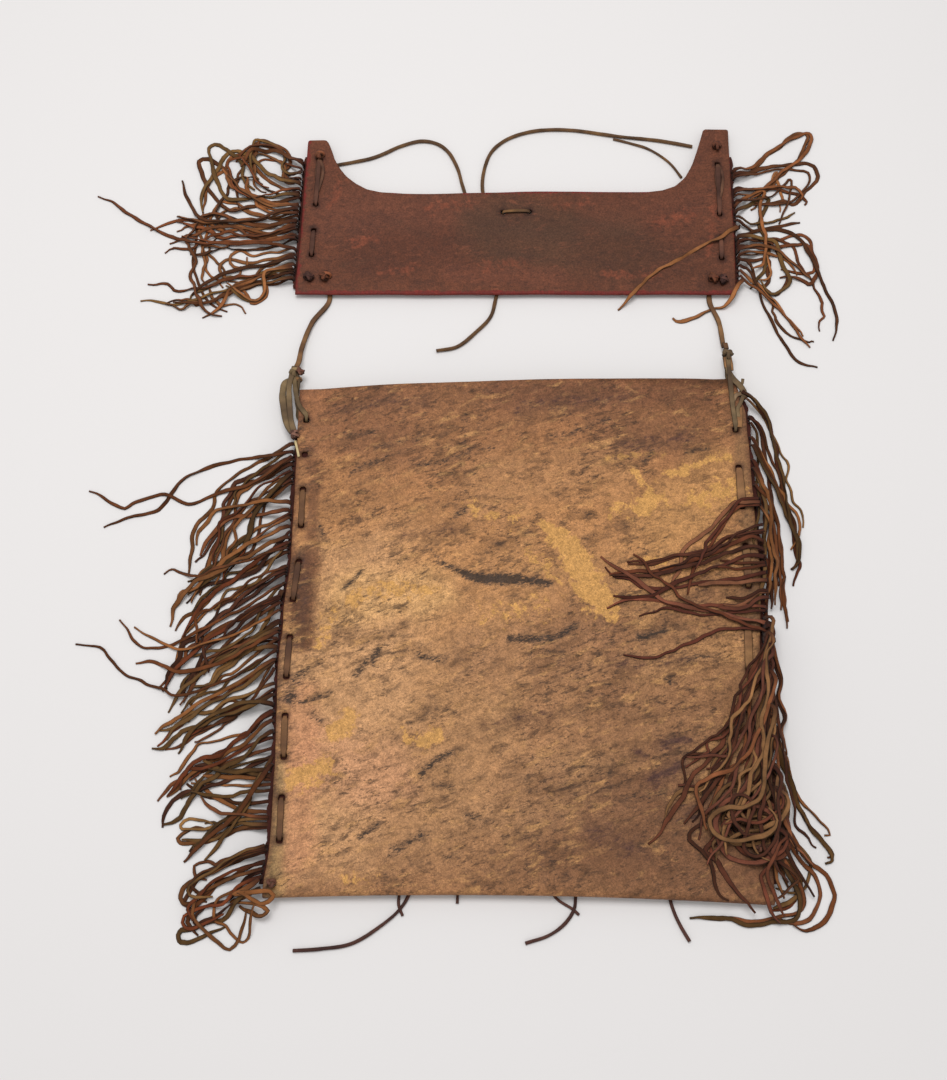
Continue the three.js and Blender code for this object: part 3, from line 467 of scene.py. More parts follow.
# Each thong: width, body, far end and route
FREE_THONGS = {
    "carry_thong_left": (CARRY_WIDTH, "panel", "object", [
        (-0.1266, 0.336), (-0.112, 0.339), (-0.100, 0.342), (-0.090, 0.3465), (-0.080, 0.352),
        (-0.065, 0.3565), (-0.054, 0.3545), (-0.046, 0.348), (-0.039, 0.334), (-0.035, 0.318),
        (-0.030, 0.303), (-0.022, 0.296), (-0.0144, 0.2945),
    ]),
    "carry_thong_right": (CARRY_WIDTH, "panel", "object", [
        (-0.0175, 0.300), (-0.021, 0.313), (-0.0208, 0.328), (-0.0156, 0.346), (-0.008, 0.355),
        (0.002, 0.361), (0.018, 0.3655), (0.0415, 0.366), (0.073, 0.361), (0.104, 0.357),
        (0.128, 0.352),
    ]),
    "carry_thong_tail": (CARRY_WIDTH, "panel", "bare", [
        (0.0098, 0.287), (0.002, 0.274), (-0.007, 0.252), (-0.0124, 0.229), (-0.016, 0.215),
        (-0.026, 0.203), (-0.0386, 0.192), (-0.0525, 0.189),
    ]),
    "carry_thong_end": (THIN_WIDTH, "panel", "bare", [
        (0.072, 0.3586), (0.084, 0.355), (0.097, 0.350), (0.107, 0.3425), (0.113, 0.336),
        (0.119, 0.326),
    ]),
    "front_tie_long": (TIE_WIDTH, "pouch", "bare", [
        (-0.063, -0.157), (-0.0649, -0.164), (-0.070, -0.172), (-0.079, -0.180),
        (-0.097, -0.191), (-0.115, -0.194), (-0.1307, -0.195),
    ]),
    "front_tie_middle": (TIE_WIDTH, "pouch", "bare", [
        (0.032, -0.157), (0.0314, -0.165), (0.0304, -0.172), (0.025, -0.180),
        (0.0158, -0.1865), (0.002, -0.191),
    ]),
    "front_tie_right": (TIE_WIDTH, "pouch", "bare", [
        (0.085, -0.160), (0.086, -0.167), (0.088, -0.174), (0.091, -0.181), (0.096, -0.190),
    ]),
}
# %% [markdown]
# A thong is dark where it lay in the shade of others and light where it was rubbed. Its colour
# wanders between the two ends of a pair, and each pair below is one batch of hide.

# %% Tones of the thongs, and the free ones
BROWN = ("4C3626", "785634")
OLIVE = ("4E3C2C", "826C4C")
RUSSET = ("54342A", "7C5240")
TAN = ("6E4C34", "9A7048")
RUST = ("522C20", "7E4A30")
MAROON = ("38221E", "5C3A30")
FREE_STEP = 1.2
FREE_SIDES = 12


def thong_tint(s, seed, tones):
    """Colour of a thong some millimetres along it: worn light stretches and dark ones."""
    light = 0.5 + 0.7 * waver(s, seed * 40.0, seed, 12)
    return mix(srgb(tones[0]), srgb(tones[1]), light) * (0.94 + 0.16 * waver(s, 9, seed, 4))


def free_thong(name, width, body, far_end, route, seed):
    size = width / MM
    path = smooth_path([(x / MM, y / MM, size / 2 + 0.05) for x, y in route], FREE_STEP)
    steps = [i * FREE_STEP for i in range(len(path))]
    widths = [size * (1.02 + 0.12 * waver(s, 0, seed, 9)) for s in steps]
    depths = [size * (0.86 + 0.10 * waver(s, 5, seed, 7)) for s in steps]
    twist = [2.2 * waver(s, 3, seed, 30) for s in steps]
    for place, wide, deep in zip(path, widths, depths):
        place.z = max(wide, deep) / 2 + 0.03
    tones = BROWN if body == "panel" else MAROON
    tints = ring_tints([thong_tint(s, seed, tones) for s in steps], FREE_SIDES)
    shape = Shape()
    shape.add(*sweep(path, widths, depths, twist, FREE_SIDES), tints)
    piece = shape.piece(name, thong_hide)
    seat(piece, body, "thong", name)


for number, (name, facts) in enumerate(FREE_THONGS.items()):
    free_thong(name, *facts, number + 1)


# %% [markdown]
# The form of the pouch.
# The real pouch is one sheet, folded at the bottom and held flat by the lacing at its sides.
# Between the laced bands it bulges a little over what it once held. We work out the height of
# the sheet from a few sizes, section by section, and then give it its real thickness. A cloth
# simulation would sag it like a blanket, but rawhide is as stiff as card, so we shape it.

# %% Sizes of the pouch
POUCH_WIDTH = 294
POUCH_LENGTH = 326
POUCH_X = -2
POUCH_Y = -2.5
# Thickness of the sheet, and the height of the space inside it along the pouch
SHEET = 2
POCKET_HEIGHT = 14
MOUTH_HEIGHT = 11.5
FOLD_HEIGHT = 6
INNER_HEIGHTS = [(0, FOLD_HEIGHT), (0.45, POCKET_HEIGHT), (1, MOUTH_HEIGHT)]
COCKLE = 0.45
# How far the front rises at its sides and at the fold, and over what share it does
SIDE_LIFT = 3
SIDE_SHARE = 0.12
FOLD_LIFT = 3
FOLD_SHARE = 0.09
# How far the mouth and the fold run askew or bowed
MOUTH_SKEW = 8
FOLD_SKEW = -4
FOLD_BOW = 3.5
# The laced seams: flat band, gaps, fringe heading, holes and thong
FLAT_SEAM = 15
CLEARANCE = 0.3
HEADING = 1.4
HEADING_REACH = 5.5
HOLE_RADIUS = 2.1
LEFT_INSET = 5.2
RIGHT_INSET = 7.8
LEFT_PITCH = 24.4
RIGHT_PITCH = 26.6
THONG_THICK = 1.2
# How far each side wanders from a straight line, from the fold to the mouth
LEFT_WANDER = [
    (0, 0), (0.1, -3.5), (0.25, -3.6), (0.4, -2.8), (0.52, -4.3), (0.65, -7.4), (1, -7.6),
]
RIGHT_WANDER = [(0, 0), (0.33, 1), (0.45, 2.8), (0.6, 6.2), (0.78, 5.3), (0.93, 5), (1, -0.5)]

HEADING_MIDDLE = SIDE_LIFT + SHEET + CLEARANCE + HEADING / 2
BACK_BOTTOM = HEADING_MIDDLE + HEADING / 2 + CLEARANCE
BACK_TOP = BACK_BOTTOM + SHEET
STITCH_ABOVE = BACK_TOP + CLEARANCE + THONG_THICK / 2
STITCH_BELOW = SIDE_LIFT - CLEARANCE - THONG_THICK / 2
POUCH_BOTTOM = POUCH_Y - POUCH_LENGTH / 2
POUCH_TOP = POUCH_Y + POUCH_LENGTH / 2
BAND = 1 - 2 * FLAT_SEAM / POUCH_WIDTH


def along(pairs, share):
    """Value of a smooth run through (share, value) pairs."""
    i = 0
    while i < len(pairs) - 2 and share > pairs[i + 1][0]:
        i += 1
    (start, a), (end, b) = pairs[i], pairs[i + 1]
    return mix(a, b, smooth((share - start) / (end - start)))


def left_edge(y):
    return POUCH_X - POUCH_WIDTH / 2 - along(LEFT_WANDER, (y - POUCH_BOTTOM) / POUCH_LENGTH)


def right_edge(y):
    return POUCH_X + POUCH_WIDTH / 2 + along(RIGHT_WANDER, (y - POUCH_BOTTOM) / POUCH_LENGTH)


def fullness(across):
    inward = min(1, max(0, (BAND - abs(across)) / BAND))
    return 1 - (1 - inward) ** 2.5


def front_height(across, share):
    border = smooth((abs(across) - BAND + SIDE_SHARE) / SIDE_SHARE)
    near_fold = smooth((FOLD_SHARE - share) / FOLD_SHARE)
    return SHEET / 2 + max(border * SIDE_LIFT, near_fold * FOLD_LIFT)


def back_height(across, share):
    waves = math.sin(10.7 * share + 1.9 * across) + math.sin(8.2 * across - 5.7 * share)
    bulge = SHEET + along(INNER_HEIGHTS, share) - BACK_BOTTOM
    return BACK_BOTTOM + SHEET / 2 + fullness(across) * (bulge + COCKLE * waves)


def back_surface(x, y):
    """Height of the upper face of the back at a place inside the pouch's outline."""
    across = 2 * (x - left_edge(y)) / (right_edge(y) - left_edge(y)) - 1
    share = min(1, max(0, (y - POUCH_BOTTOM) / POUCH_LENGTH))
    return back_height(min(1, max(-1, across)), share) + SHEET / 2


def seam_holes(edge, inset, first, pitch):
    holes = []
    y = first
    while y > POUCH_BOTTOM + pitch / 4:
        holes.append((edge(y) + inset, y))
        y -= pitch
    return holes


LEFT_HOLES = seam_holes(left_edge, LEFT_INSET, POUCH_TOP - 26, LEFT_PITCH)
RIGHT_HOLES = seam_holes(right_edge, -RIGHT_INSET, POUCH_TOP - 33, RIGHT_PITCH)
print("holes punched:", len(LEFT_HOLES), "left and", len(RIGHT_HOLES), "right")


# %% [markdown]
# A sheet with real thickness.
# We could add a Solidify modifier to a single surface, but the edges of cut rawhide are
# slightly rounded and worn. So we keep two grids of points, one for each face, and draw them
# together near the borders.

# %% Sheets with thickness
RIM = 1.0
PUNCH_REACH = 40
PUNCH_SIDES = 14


def sheet_faces(rows, columns):
    """Faces of two grids of points, one after the other, closed along their borders."""
    under = rows * columns
    faces = []
    for r in range(rows - 1):
        for c in range(columns - 1):
            a = r * columns + c
            faces.append((a, a + columns, a + columns + 1, a + 1))
            b = under + a
            faces.append((b, b + 1, b + columns + 1, b + columns))
    for c in range(columns - 1):
        end = (rows - 1) * columns + c
        faces.append((c, c + 1, under + c + 1, under + c))
        faces.append((end + 1, end, under + end, under + end + 1))
    for r in range(rows - 1):
        a = r * columns
        b = a + columns - 1
        faces.append((a + columns, a, under + a, under + a + columns))
        faces.append((b, b + columns, under + b + columns, under + b))
    return faces


def stations(length, step):
    """Shares from 0 to 1 about step millimetres apart, closer together near both ends."""
    near = [0, 0.12 * RIM, 0.4 * RIM, RIM]
    count = max(2, round((length - 2 * RIM) / step))
    middle = [mix(RIM, length - RIM, i / count) for i in range(1, count)]
    places = near + middle + [length - d for d in reversed(near)]
    return [place / length for place in places]


def rounded(distance):
    """How much of its thickness a worn edge keeps at a distance from the border."""
    t = min(1, max(0, distance / RIM))
    return 0.45 + 0.55 * math.sqrt(1 - (1 - t) ** 2)


def punch(piece, holes, radius):
    """Cut round holes with a Boolean modifier, as an awl and a knife would open them."""
    shape = Shape()
    for x, y in holes:
        path = [Vector((x, y, z)) for z in (-PUNCH_REACH, 0, PUNCH_REACH)]
        shape.add(*sweep(path, 2 * radius, 2 * radius, None, PUNCH_SIDES))
    cutter = shape.piece("cutter", pouch_hide)
    bpy.context.view_layer.objects.active = piece
    modifier = piece.modifiers.new("holes", "BOOLEAN")
    modifier.operation = "DIFFERENCE"
    modifier.solver = "EXACT"
    modifier.object = cutter
    bpy.ops.object.modifier_apply(modifier=modifier.name)
    bpy.data.objects.remove(cutter, do_unlink=True)


# %% [markdown]
# Painting the rawhide.
# Old rawhide is never one colour. We lay a base that runs from tan at the fold to brown at the
# mouth, and wash soft lighter and darker regions over it. Then every larger stain is placed as
# a stroke in one of the three fields: ochre, charcoal or grease. A stroke that isn't full
# leaves only specks of its paint.

# %% Washes and stains of the pouch
POUCH_BASE = [
    (0.0, "9A6C48"), (0.12, "AC7E56"), (0.4, "B48458"), (0.62, "B58152"), (0.8, "A6734A"),
    (1.0, "86583A"),
]
# Each wash: from x, y to x, y, half width, colour, strength
POUCH_WASHES = [
    (-118, -120, -98, 20, 34, "CC9A6C", 0.7),
    (-106, 10, -56, 16, 14, "DAA96E", 0.7),
    (-118, -88, -82, -96, 18, "C8906A", 0.6),
    (-132, -50, -128, -140, 10, "BC7C5A", 0.38),
    (70, -66, 132, -52, 24, "80583C", 0.62),
    (60, -128, 130, -132, 30, "704A32", 0.8),
    (22, -146, 102, -152, 17, "7C5438", 0.6),
    (61, -16, 136, 10, 15, "825A3E", 0.5),
    (40, -10, 30, -60, 24, "8A5E40", 0.4),
    (54, 124, 117, 117, 13, "7E5438", 0.55),
    (-10, 150, 119, 150, 8, "744A32", 0.6),
    (-120, 124, -75, 120, 14, "86593C", 0.55),
    (-24, -28, 25, -16, 18, "946848", 0.45),
    (0, -100, 46, -112, 17, "926848", 0.4),
    (-136, 37, -134, -14, 7, "54321F", 0.85),
    (-131, 112, -128, 37, 4, "6A432C", 0.6),
    (-149, -20, -146, -160, 4, "8C7048", 0.7),
    (-143, -90, -141, -160, 4, "94784E", 0.6),
    (148, 140, 148, -20, 5, "7A5A3C", 0.6),
    (90, 60, 128, 92, 18, "C4925A", 0.5),
    (-20, 84, 60, 96, 16, "AE8056", 0.4),
    (20, 62, 70, 84, 12, "BE8654", 0.35),
]
# Each stain: from x, y to x, y, half width, fullness
OCHRE_STAINS = [
    (15, 59, 24, 53, 3.1, 1), (24, 52, 35, 44, 5.6, 1), (35, 39, 44, 26, 8.1, 1),
    (43, 23, 50, 7, 9.2, 1), (77, 71, 84, 79, 5.7, 1), (74, 95, 79, 88, 2.2, 1),
    (116, 78, 136, 87, 10, 0.62), (97, 95, 137, 109, 4.2, 0.66), (60, 104, 90, 110, 4, 0.55),
    (-106, 10, -82, 16, 7, 0.58), (-82, 16, -54, 16, 7.5, 0.6), (-111, -71, -103, -64, 6, 0.95),
    (-134, -98, -115, -94, 6.5, 0.85), (-57, -78, -50, -73, 4.4, 0.95),
    (-70, -70, -62, -76, 4, 0.6), (-101, -158, -82, -157, 4.6, 0.6), (79, 37, 90, 36, 2.4, 1),
    (-124, -20, -112, 6, 8, 0.5), (-30, 70, 0, 60, 8, 0.5), (62, 70, 92, 78, 11, 0.5),
    (-20, 0, 10, 6, 9, 0.48), (6, 42, 26, 20, 8, 0.5),
]
CHAR_STAINS = [
    (-48, 34, -32, 27, 1.8, 1.1), (-32, 27, -18, 21, 2.3, 1.4), (-18, 21, 1, 21, 2.9, 1.45),
    (1, 21, 18, 20, 2.1, 1.3), (-5, -13, 16, -14, 3, 0.98), (16, -14, 37, -8, 2.4, 0.92),
    (73, -12, 90, -8, 2.8, 0.9), (-89, -29, -84, -20, 3, 0.85), (-98, -37, -92, -29, 2.6, 0.85),
    (-61, -24, -45, -28, 3, 0.8), (-58, -95, -40, -84, 2.2, 0.95), (-74, -142, -56, -131, 3, 0.8),
    (-94, -133, -82, -125, 2, 0.9), (-47, -103, -40, -106, 2, 0.8),
    (-33, -118, -24, -120, 2.3, 0.8), (-43, -144, -34, -141, 2.9, 0.75),
    (-40, 66, -34, 69, 2, 0.9), (-108, 19, -95, 27, 2.6, 0.8),
    (-106, 96, -84, 105, 2, 0.72), (-65, 100, -17, 110, 2.4, 0.68), (-125, 61, -118, 51, 2.5, 0.7),
    (-134, -38, -128, -33, 3.6, 0.8), (-130, -52, -111, -47, 1.7, 0.85),
    (-137, -47, -137, -50, 4.8, 0.95), (110, 111, 122, 114, 2, 0.8), (80, 103, 85, 110, 2.5, 0.75),
    (89, -41, 90, -42, 1.8, 1), (-122, -59, -118, -64, 3.6, 0.75), (-56, 44, -50, 38, 2.2, 0.7),
    (-112, 122, -90, 124, 2, 0.65), (-92, 112, -70, 118, 2, 0.65), (60, -112, 84, -106, 3, 0.6),
    (100, -30, 122, -24, 3, 0.62), (20, 120, 60, 130, 2.4, 0.65),
]
GREASE_STAINS = [
    (77, -98, 96, -92, 6, 0.85), (84, -78, 98, -76, 4.4, 0.8), (68, -80, 73, -83, 2.6, 0.8),
    (70, 112, 112, 122, 9, 0.6), (-134, 44, -133, 0, 4, 0.5),
    (100, -120, 120, -116, 12, 0.6), (40, -130, 70, -140, 10, 0.55), (54, -30, 100, -28, 6, 0.55),
    (-118, 140, -60, 146, 7, 0.55), (0, 140, 70, 146, 8, 0.55), (-68, 54, -40, 60, 6, 0.5),
    (-20, -70, 20, -60, 8, 0.5), (110, 10, 130, 40, 8, 0.5),
]
print("stains placed:", len(OCHRE_STAINS) + len(CHAR_STAINS) + len(GREASE_STAINS))


# %% [markdown]
# A stroke is a straight line with a half width, and we work out how far every point of the
# sheet is from it. The distances are pushed about by a slow noise first, so that no stroke looks
# ruled. The hide is darker along its edges, and painted shade darkens it round its holes.

# %% Laying the colours
SWAY = 4
HOLE_SHADE = 3.5


def away_from(xs, ys, line):
    """Distance of many places from one straight stroke."""
    x0, y0, x1, y1 = line
    length = max(1e-6, (x1 - x0) ** 2 + (y1 - y0) ** 2)
    t = np.clip(((xs - x0) * (x1 - x0) + (ys - y0) * (y1 - y0)) / length, 0, 1)
    return np.hypot(xs - x0 - t * (x1 - x0), ys - y0 - t * (y1 - y0))


def ramp(values):
    values = np.clip(values, 0, 1)
    return values * values * (3 - 2 * values)


def laid_over(colours, code, share):
    """Lay one colour over many, by a share for each place."""
    return colours + (srgb(code) - colours) * share[:, None]


def field_of(xs, ys, stains):
    """The field of one paint: 1 along a stroke, a half at its border, then fading to 0."""
    field = np.zeros(len(xs))
    for *line, half, full in stains:
        field = np.maximum(field, np.clip(1 - 0.5 * away_from(xs, ys, line) / half, 0, 1) * full)
    return field


def marks_of(xs, ys, *paints):
    """The three fields of marks, side by side."""
    return np.stack([field_of(xs, ys, stains) for stains in paints], axis=1)


def washed(colours, xs, ys, washes):
    """Lay soft washes over the colours of many places."""
    ragged = np.array([
        0.3 * waver(x, y, 10, 24) + 0.2 * waver(x, y, 11, 9) for x, y in zip(xs, ys)
    ])
    for *line, half, code, strength in washes:
        share = ramp(1.4 - 0.8 * away_from(xs, ys, line) / half + ragged) * strength
        colours = laid_over(colours, code, share)
    return colours


def base_colours(pairs, shares):
    """Colours of many places from a run of (share, colour) pairs."""
    places = [place for place, _ in pairs]
    chart = np.array([srgb(code) for _, code in pairs])
    return np.stack([np.interp(shares, places, chart[:, i]) for i in range(3)], axis=1)


def painted_hole_shade(colours, xs, ys, holes, code):
    """Painted shade round the holes of the hide, where the thong goes down into them."""
    for hx, hy in holes:
        share = 0.65 * ramp(1 - (np.hypot(xs - hx, ys - hy) - 2) / HOLE_SHADE)
        colours = laid_over(colours, code, share)
    return colours


def pouch_paint(places):
    """Tint and marks of every point of the pouch."""
    xs, ys, zs = places.T
    sway = np.array([[waver(x, y, 3, 22), waver(x, y, 5, 22), waver(x, y, 7, 45)]
                     for x, y in zip(xs, ys)])
    sway_x = xs + SWAY * sway[:, 0]
    sway_y = ys + SWAY * sway[:, 1]
    share = (ys - POUCH_BOTTOM) / POUCH_LENGTH + 0.05 * sway[:, 2]
    colours = base_colours(POUCH_BASE, share)
    bands = np.array([
        waver(0.3 * (x * math.cos(SLANT) + y * math.sin(SLANT)),
              y * math.cos(SLANT) - x * math.sin(SLANT), 8, 13)
        for x, y in zip(sway_x, sway_y)
    ])
    colours = colours * (1 + 0.13 * bands)[:, None]
    colours = washed(colours, sway_x, sway_y, POUCH_WASHES)
    edge = np.array([min(x - left_edge(y), right_edge(y) - x) for x, y in zip(xs, ys)])
    edge = np.minimum(edge, np.minimum(ys - POUCH_BOTTOM + 4, POUCH_TOP + 3 - ys))
    colours = laid_over(colours, "5E3A28", 0.55 * ramp(1 - edge / 4))
    # Painted shade round the lacing holes
    colours = painted_hole_shade(colours, xs, ys, LEFT_HOLES + RIGHT_HOLES, "3C2418")
    marks = marks_of(sway_x, sway_y, OCHRE_STAINS, CHAR_STAINS, GREASE_STAINS)
    # The front is plainer
    marks[zs < SHEET * 1.5] *= 0.6
    return colours, marks


def repaint(piece, paint_of):
    """Replace the colour layers of a finished mesh by its tint and its marks."""
    mesh = piece.data
    for layer in list(mesh.color_attributes):
        mesh.color_attributes.remove(layer)
    colours, marks = paint_of(np.array([tuple(v.co / MM) for v in mesh.vertices]))
    paint(mesh, "tint", to_linear(np.clip(colours, 0.02, 0.95)))
    paint(mesh, "marks", marks)


def sheet_piece(shape, name, material, holes, radius, paint_of):
    """A sheet of rawhide with its holes cut and its colours laid."""
    piece = shape.piece(name, material)
    punch(piece, holes, radius)
    repaint(piece, paint_of)
    piece.data.shade_smooth()
    return piece


# %% [markdown]
# The pouch itself: one folded sheet. Each section runs up the front, round the fold and back
# over the top. Small dents under each stitch show how tightly the thong was pulled, and a
# slight cockle over the whole sheet is what rawhide does when it dries.

# %% Pouch
ROW_STEP = 2.3
SECTION_STEP = 2.4
FOLD_TURNS = 12


def pouch_section(across):
    """Places and heights of the middle of the sheet, from the front's mouth to the back's."""
    fold_y = POUCH_BOTTOM + FOLD_SKEW * (across + 1) / 2 + FOLD_BOW * (1 - across * across)
    mouth_y = POUCH_TOP + MOUTH_SKEW * across / 2
    length = mouth_y - fold_y
    low = front_height(across, 0)
    high = back_height(across, 0)
    half = (high - low) / 2
    depth = half * 0.9
    arm = length - depth
    shares = [1 - s for s in stations(arm, SECTION_STEP * 2)]
    points = [(fold_y + depth + s * arm, front_height(across, s)) for s in shares if s > 0.02]
    for i in range(FOLD_TURNS + 1):
        turn = math.pi * (i / FOLD_TURNS - 0.5)
        y = fold_y + depth - depth * math.cos(turn)
        points.append((y, low + half + half * math.sin(turn)))
    shares = stations(arm, SECTION_STEP)
    points += [(fold_y + depth + s * arm, back_height(across, s)) for s in shares if s > 0.02]
    return points


def dent(x, y, holes):
    """How deep the sheet is pulled in near the lacing."""
    depth = 0
    for hx, hy in holes:
        depth += math.exp(-((x - hx) ** 2 + (y - hy) ** 2) / 18)
    return 0.25 * min(1, depth)


def folded_pouch():
    rows = stations(POUCH_WIDTH, ROW_STEP)
    sections = [pouch_section(2 * u - 1) for u in rows]
    columns = min(len(s) for s in sections)
    outer = []
    inner = []
    holes = LEFT_HOLES + RIGHT_HOLES
    for u, section in zip(rows, sections):
        section = section[:columns - 1] + [section[-1]] if len(section) > columns else section
        side = min(u, 1 - u) * POUCH_WIDTH
        for i, (y, z) in enumerate(section):
            before = section[max(0, i - 1)]
            after = section[min(columns - 1, i + 1)]
            run = Vector((after[0] - before[0], after[1] - before[1])).normalized()
            end = min(abs(y - section[0][0]) if i < columns / 2 else 99, abs(y - section[-1][0]))
            half = SHEET / 2 * rounded(side) * rounded(end)
            place = u * POUCH_WIDTH
            ripple = 0.16 * waver(place, y, 21, 16) + 0.07 * waver(place, y, 22, 6)
            ripple *= smooth(side / 20)
            edge_wave = 0.5 * waver(0, y, 23, 24) + 0.25 * waver(0, y, 24, 9)
            x = mix(left_edge(y) + edge_wave, right_edge(y) + edge_wave * 0.8, u)
            if z > BACK_BOTTOM:
                ripple -= dent(x, y, holes)
            fall_y, fall_z = run.y * half, run.x * half
            outer.append(Vector((x, y - fall_y, z + fall_z + ripple)))
            inner.append(Vector((x, y + fall_y, z - fall_z + ripple)))
    shape = Shape()
    points = [Vector((p.x, p.y, max(0.0, p.z))) for p in outer + inner]
    shape.add(points, sheet_faces(len(rows), columns))
    return shape


pouch = sheet_piece(
    folded_pouch(), "folded_pouch", pouch_hide, LEFT_HOLES + RIGHT_HOLES, HOLE_RADIUS, pouch_paint,
)
seat(pouch, "pouch", "pouch_rawhide", "pouch_shell")


# %% [markdown]
# The cover panel.
# It is a second, thicker piece of rawhide, cut with a horn at each end. Its outline is simple
# if we see it as columns: straight at the bottom, and at the top a run of heights that stays
# level in the middle and sweeps up to each horn.

# %% Sizes of the cover panel
PANEL_WIDTH = 299
PANEL_LEFT = POUCH_X - PANEL_WIDTH / 2 + 3
PANEL_RIGHT = PANEL_LEFT + PANEL_WIDTH
PANEL_BOTTOM = POUCH_TOP + 69.5
PANEL_DEPTH = 81
PANEL_BODY_TOP = PANEL_BOTTOM + PANEL_DEPTH
PANEL_RISE = 3.2
PANEL_THICK = 2.4
PANEL_TOP = PANEL_RISE + PANEL_THICK
PANEL_INSET = 9
PANEL_HOLE_RADIUS = 1.9
# How far each end leans to the right over the whole height of the panel
PANEL_HEIGHT = 126
LEFT_LEAN = 4
RIGHT_LEAN = 3
PANEL_STITCH_ABOVE = PANEL_TOP + CLEARANCE + THONG_THICK / 2
PANEL_STITCH_BELOW = PANEL_RISE - 2 * CLEARANCE - HEADING - THONG_THICK / 2
# Heights of the top edge above the level middle, from each end inward
LEFT_HORN = [(0, 42), (0.8, 43.2), (12.5, 43.6), (14.2, 42.4), (17, 36), (20, 27), (24, 20),
             (29, 13.5), (36, 7.5), (44, 2.6), (54, 0), (70, -1), (105, -0.8), (150, 0.4)]
RIGHT_HORN = [(0, 51.4), (0.8, 52.6), (16.6, 53), (18.2, 51.6), (20, 44), (23, 34), (27, 22),
              (32, 12), (39, 5), (48, 1.5), (58, 0.2), (110, 0.7), (150, 0.4)]


def panel_left_edge(y):
    return PANEL_LEFT + LEFT_LEAN * max(0, (y - PANEL_BOTTOM) / PANEL_HEIGHT)


def panel_right_edge(y):
    return PANEL_RIGHT + RIGHT_LEAN * max(0, (y - PANEL_BOTTOM) / PANEL_HEIGHT)


def run_of(pairs, place):
    """Straight run through (place, value) pairs, level past the ends."""
    return float(np.interp(place, [p for p, _ in pairs], [v for _, v in pairs]))


def panel_top_edge(u):
    left = u * PANEL_WIDTH
    right = (1 - u) * PANEL_WIDTH
    if left < right:
        return PANEL_BODY_TOP + run_of(LEFT_HORN, left)
    return PANEL_BODY_TOP + run_of(RIGHT_HORN, right)


def panel_holes(rises, edge, inward):
    return [(edge(PANEL_BOTTOM + r) + inward * PANEL_INSET, PANEL_BOTTOM + r) for r in rises]


PANEL_LEFT_HOLES = panel_holes([109, 71, 50, 30.5, 12], panel_left_edge, 1)
PANEL_RIGHT_HOLES = panel_holes([104, 63, 43.5, 28, 10], panel_right_edge, -1)
LEFT_TIE_HOLE = (PANEL_LEFT + 20, PANEL_BOTTOM + 13)
RIGHT_TIE_HOLE = (PANEL_RIGHT - 15, PANEL_BOTTOM + 11)
PANEL_MIDDLE = (PANEL_LEFT + PANEL_RIGHT) / 2
SLITS = [(PANEL_MIDDLE - 8, PANEL_BODY_TOP - 16.5), (PANEL_MIDDLE + 10, PANEL_BODY_TOP - 16)]
PANEL_HOLES = [*PANEL_LEFT_HOLES, *PANEL_RIGHT_HOLES, LEFT_TIE_HOLE, RIGHT_TIE_HOLE, *SLITS]
print("holes in the panel:", len(PANEL_HOLES))

# %% [markdown]
# The panel is red brown all over, with a wide sooty cloud in its middle. Its edges are crimson,
# because the paint gathered there in the open grain of the cut.

# %% Colours of the cover panel
PANEL_WASHES = [
    (-120, 292, -40, 300, 18, "6C4030", 0.5),
    (-100, 262, -20, 270, 14, "532E20", 0.5),
    (-10, 280, 70, 270, 24, "503828", 0.6),
    (60, 262, 110, 252, 16, "4E2E20", 0.5),
    (60, 296, 120, 300, 14, "643A2A", 0.5),
    (-40, 246, 30, 243, 6, "70402E", 0.5),
    (-143, 345, -128, 330, 7, "673A28", 0.6),
    (120, 330, 140, 358, 7, "613828", 0.6),
]
RUST_STAINS = [
    (-110, 270, -96, 274, 5, 0.7), (-60, 298, -30, 302, 5, 0.65), (100, 286, 124, 292, 6, 0.7),
    (60, 244, 96, 246, 4, 0.7), (-128, 300, -120, 318, 4, 0.7), (-20, 252, 4, 256, 5, 0.6),
    (134, 262, 140, 300, 4, 0.65), (-90, 246, -70, 250, 4, 0.65), (30, 300, 52, 302, 4, 0.6),
]
SOOT_STAINS = [
    (-20, 284, 40, 276, 13, 0.68), (40, 290, 84, 276, 8, 0.62), (-84, 286, -60, 276, 6, 0.6),
    (96, 262, 120, 258, 6, 0.6), (-116, 252, -100, 256, 5, 0.6), (-8, 262, 20, 258, 6, 0.65),
]
CRIMSON_STAINS = [
    (-148, 230.6, 153, 230.6, 1.6, 1), (-149, 232, -145, 352, 3.0, 0.8),
    (152, 232, 155, 360, 2.0, 0.8), (-84, 310.4, 96, 311.4, 1.6, 0.7),
]


def panel_paint(places):
    """Tint and marks of every point of the cover panel."""
    xs, ys, _ = places.T
    noises = np.array([[waver(x, y, 31, 34), waver(x, y, 32, 12), waver(x, y, 35, 16)]
                       for x, y in zip(xs, ys)])
    colours = srgb("633927") * (1 + 0.07 * noises[:, 0] + 0.04 * noises[:, 1])[:, None]
    colours = washed(colours, xs + SWAY * noises[:, 2], ys, PANEL_WASHES)
    # Painted shade round the holes
    colours = painted_hole_shade(colours, xs, ys, PANEL_HOLES, "2A1610")
    return colours, marks_of(xs, ys, RUST_STAINS, SOOT_STAINS, CRIMSON_STAINS)


# %% [markdown]
# The columns stand closer together at the horns, where the top edge is steep, and closest at
# the two ends, where the cut edge is rounded.

# %% Cover panel
PANEL_STEPS = 46
PANEL_ROW_STEP = 2.2


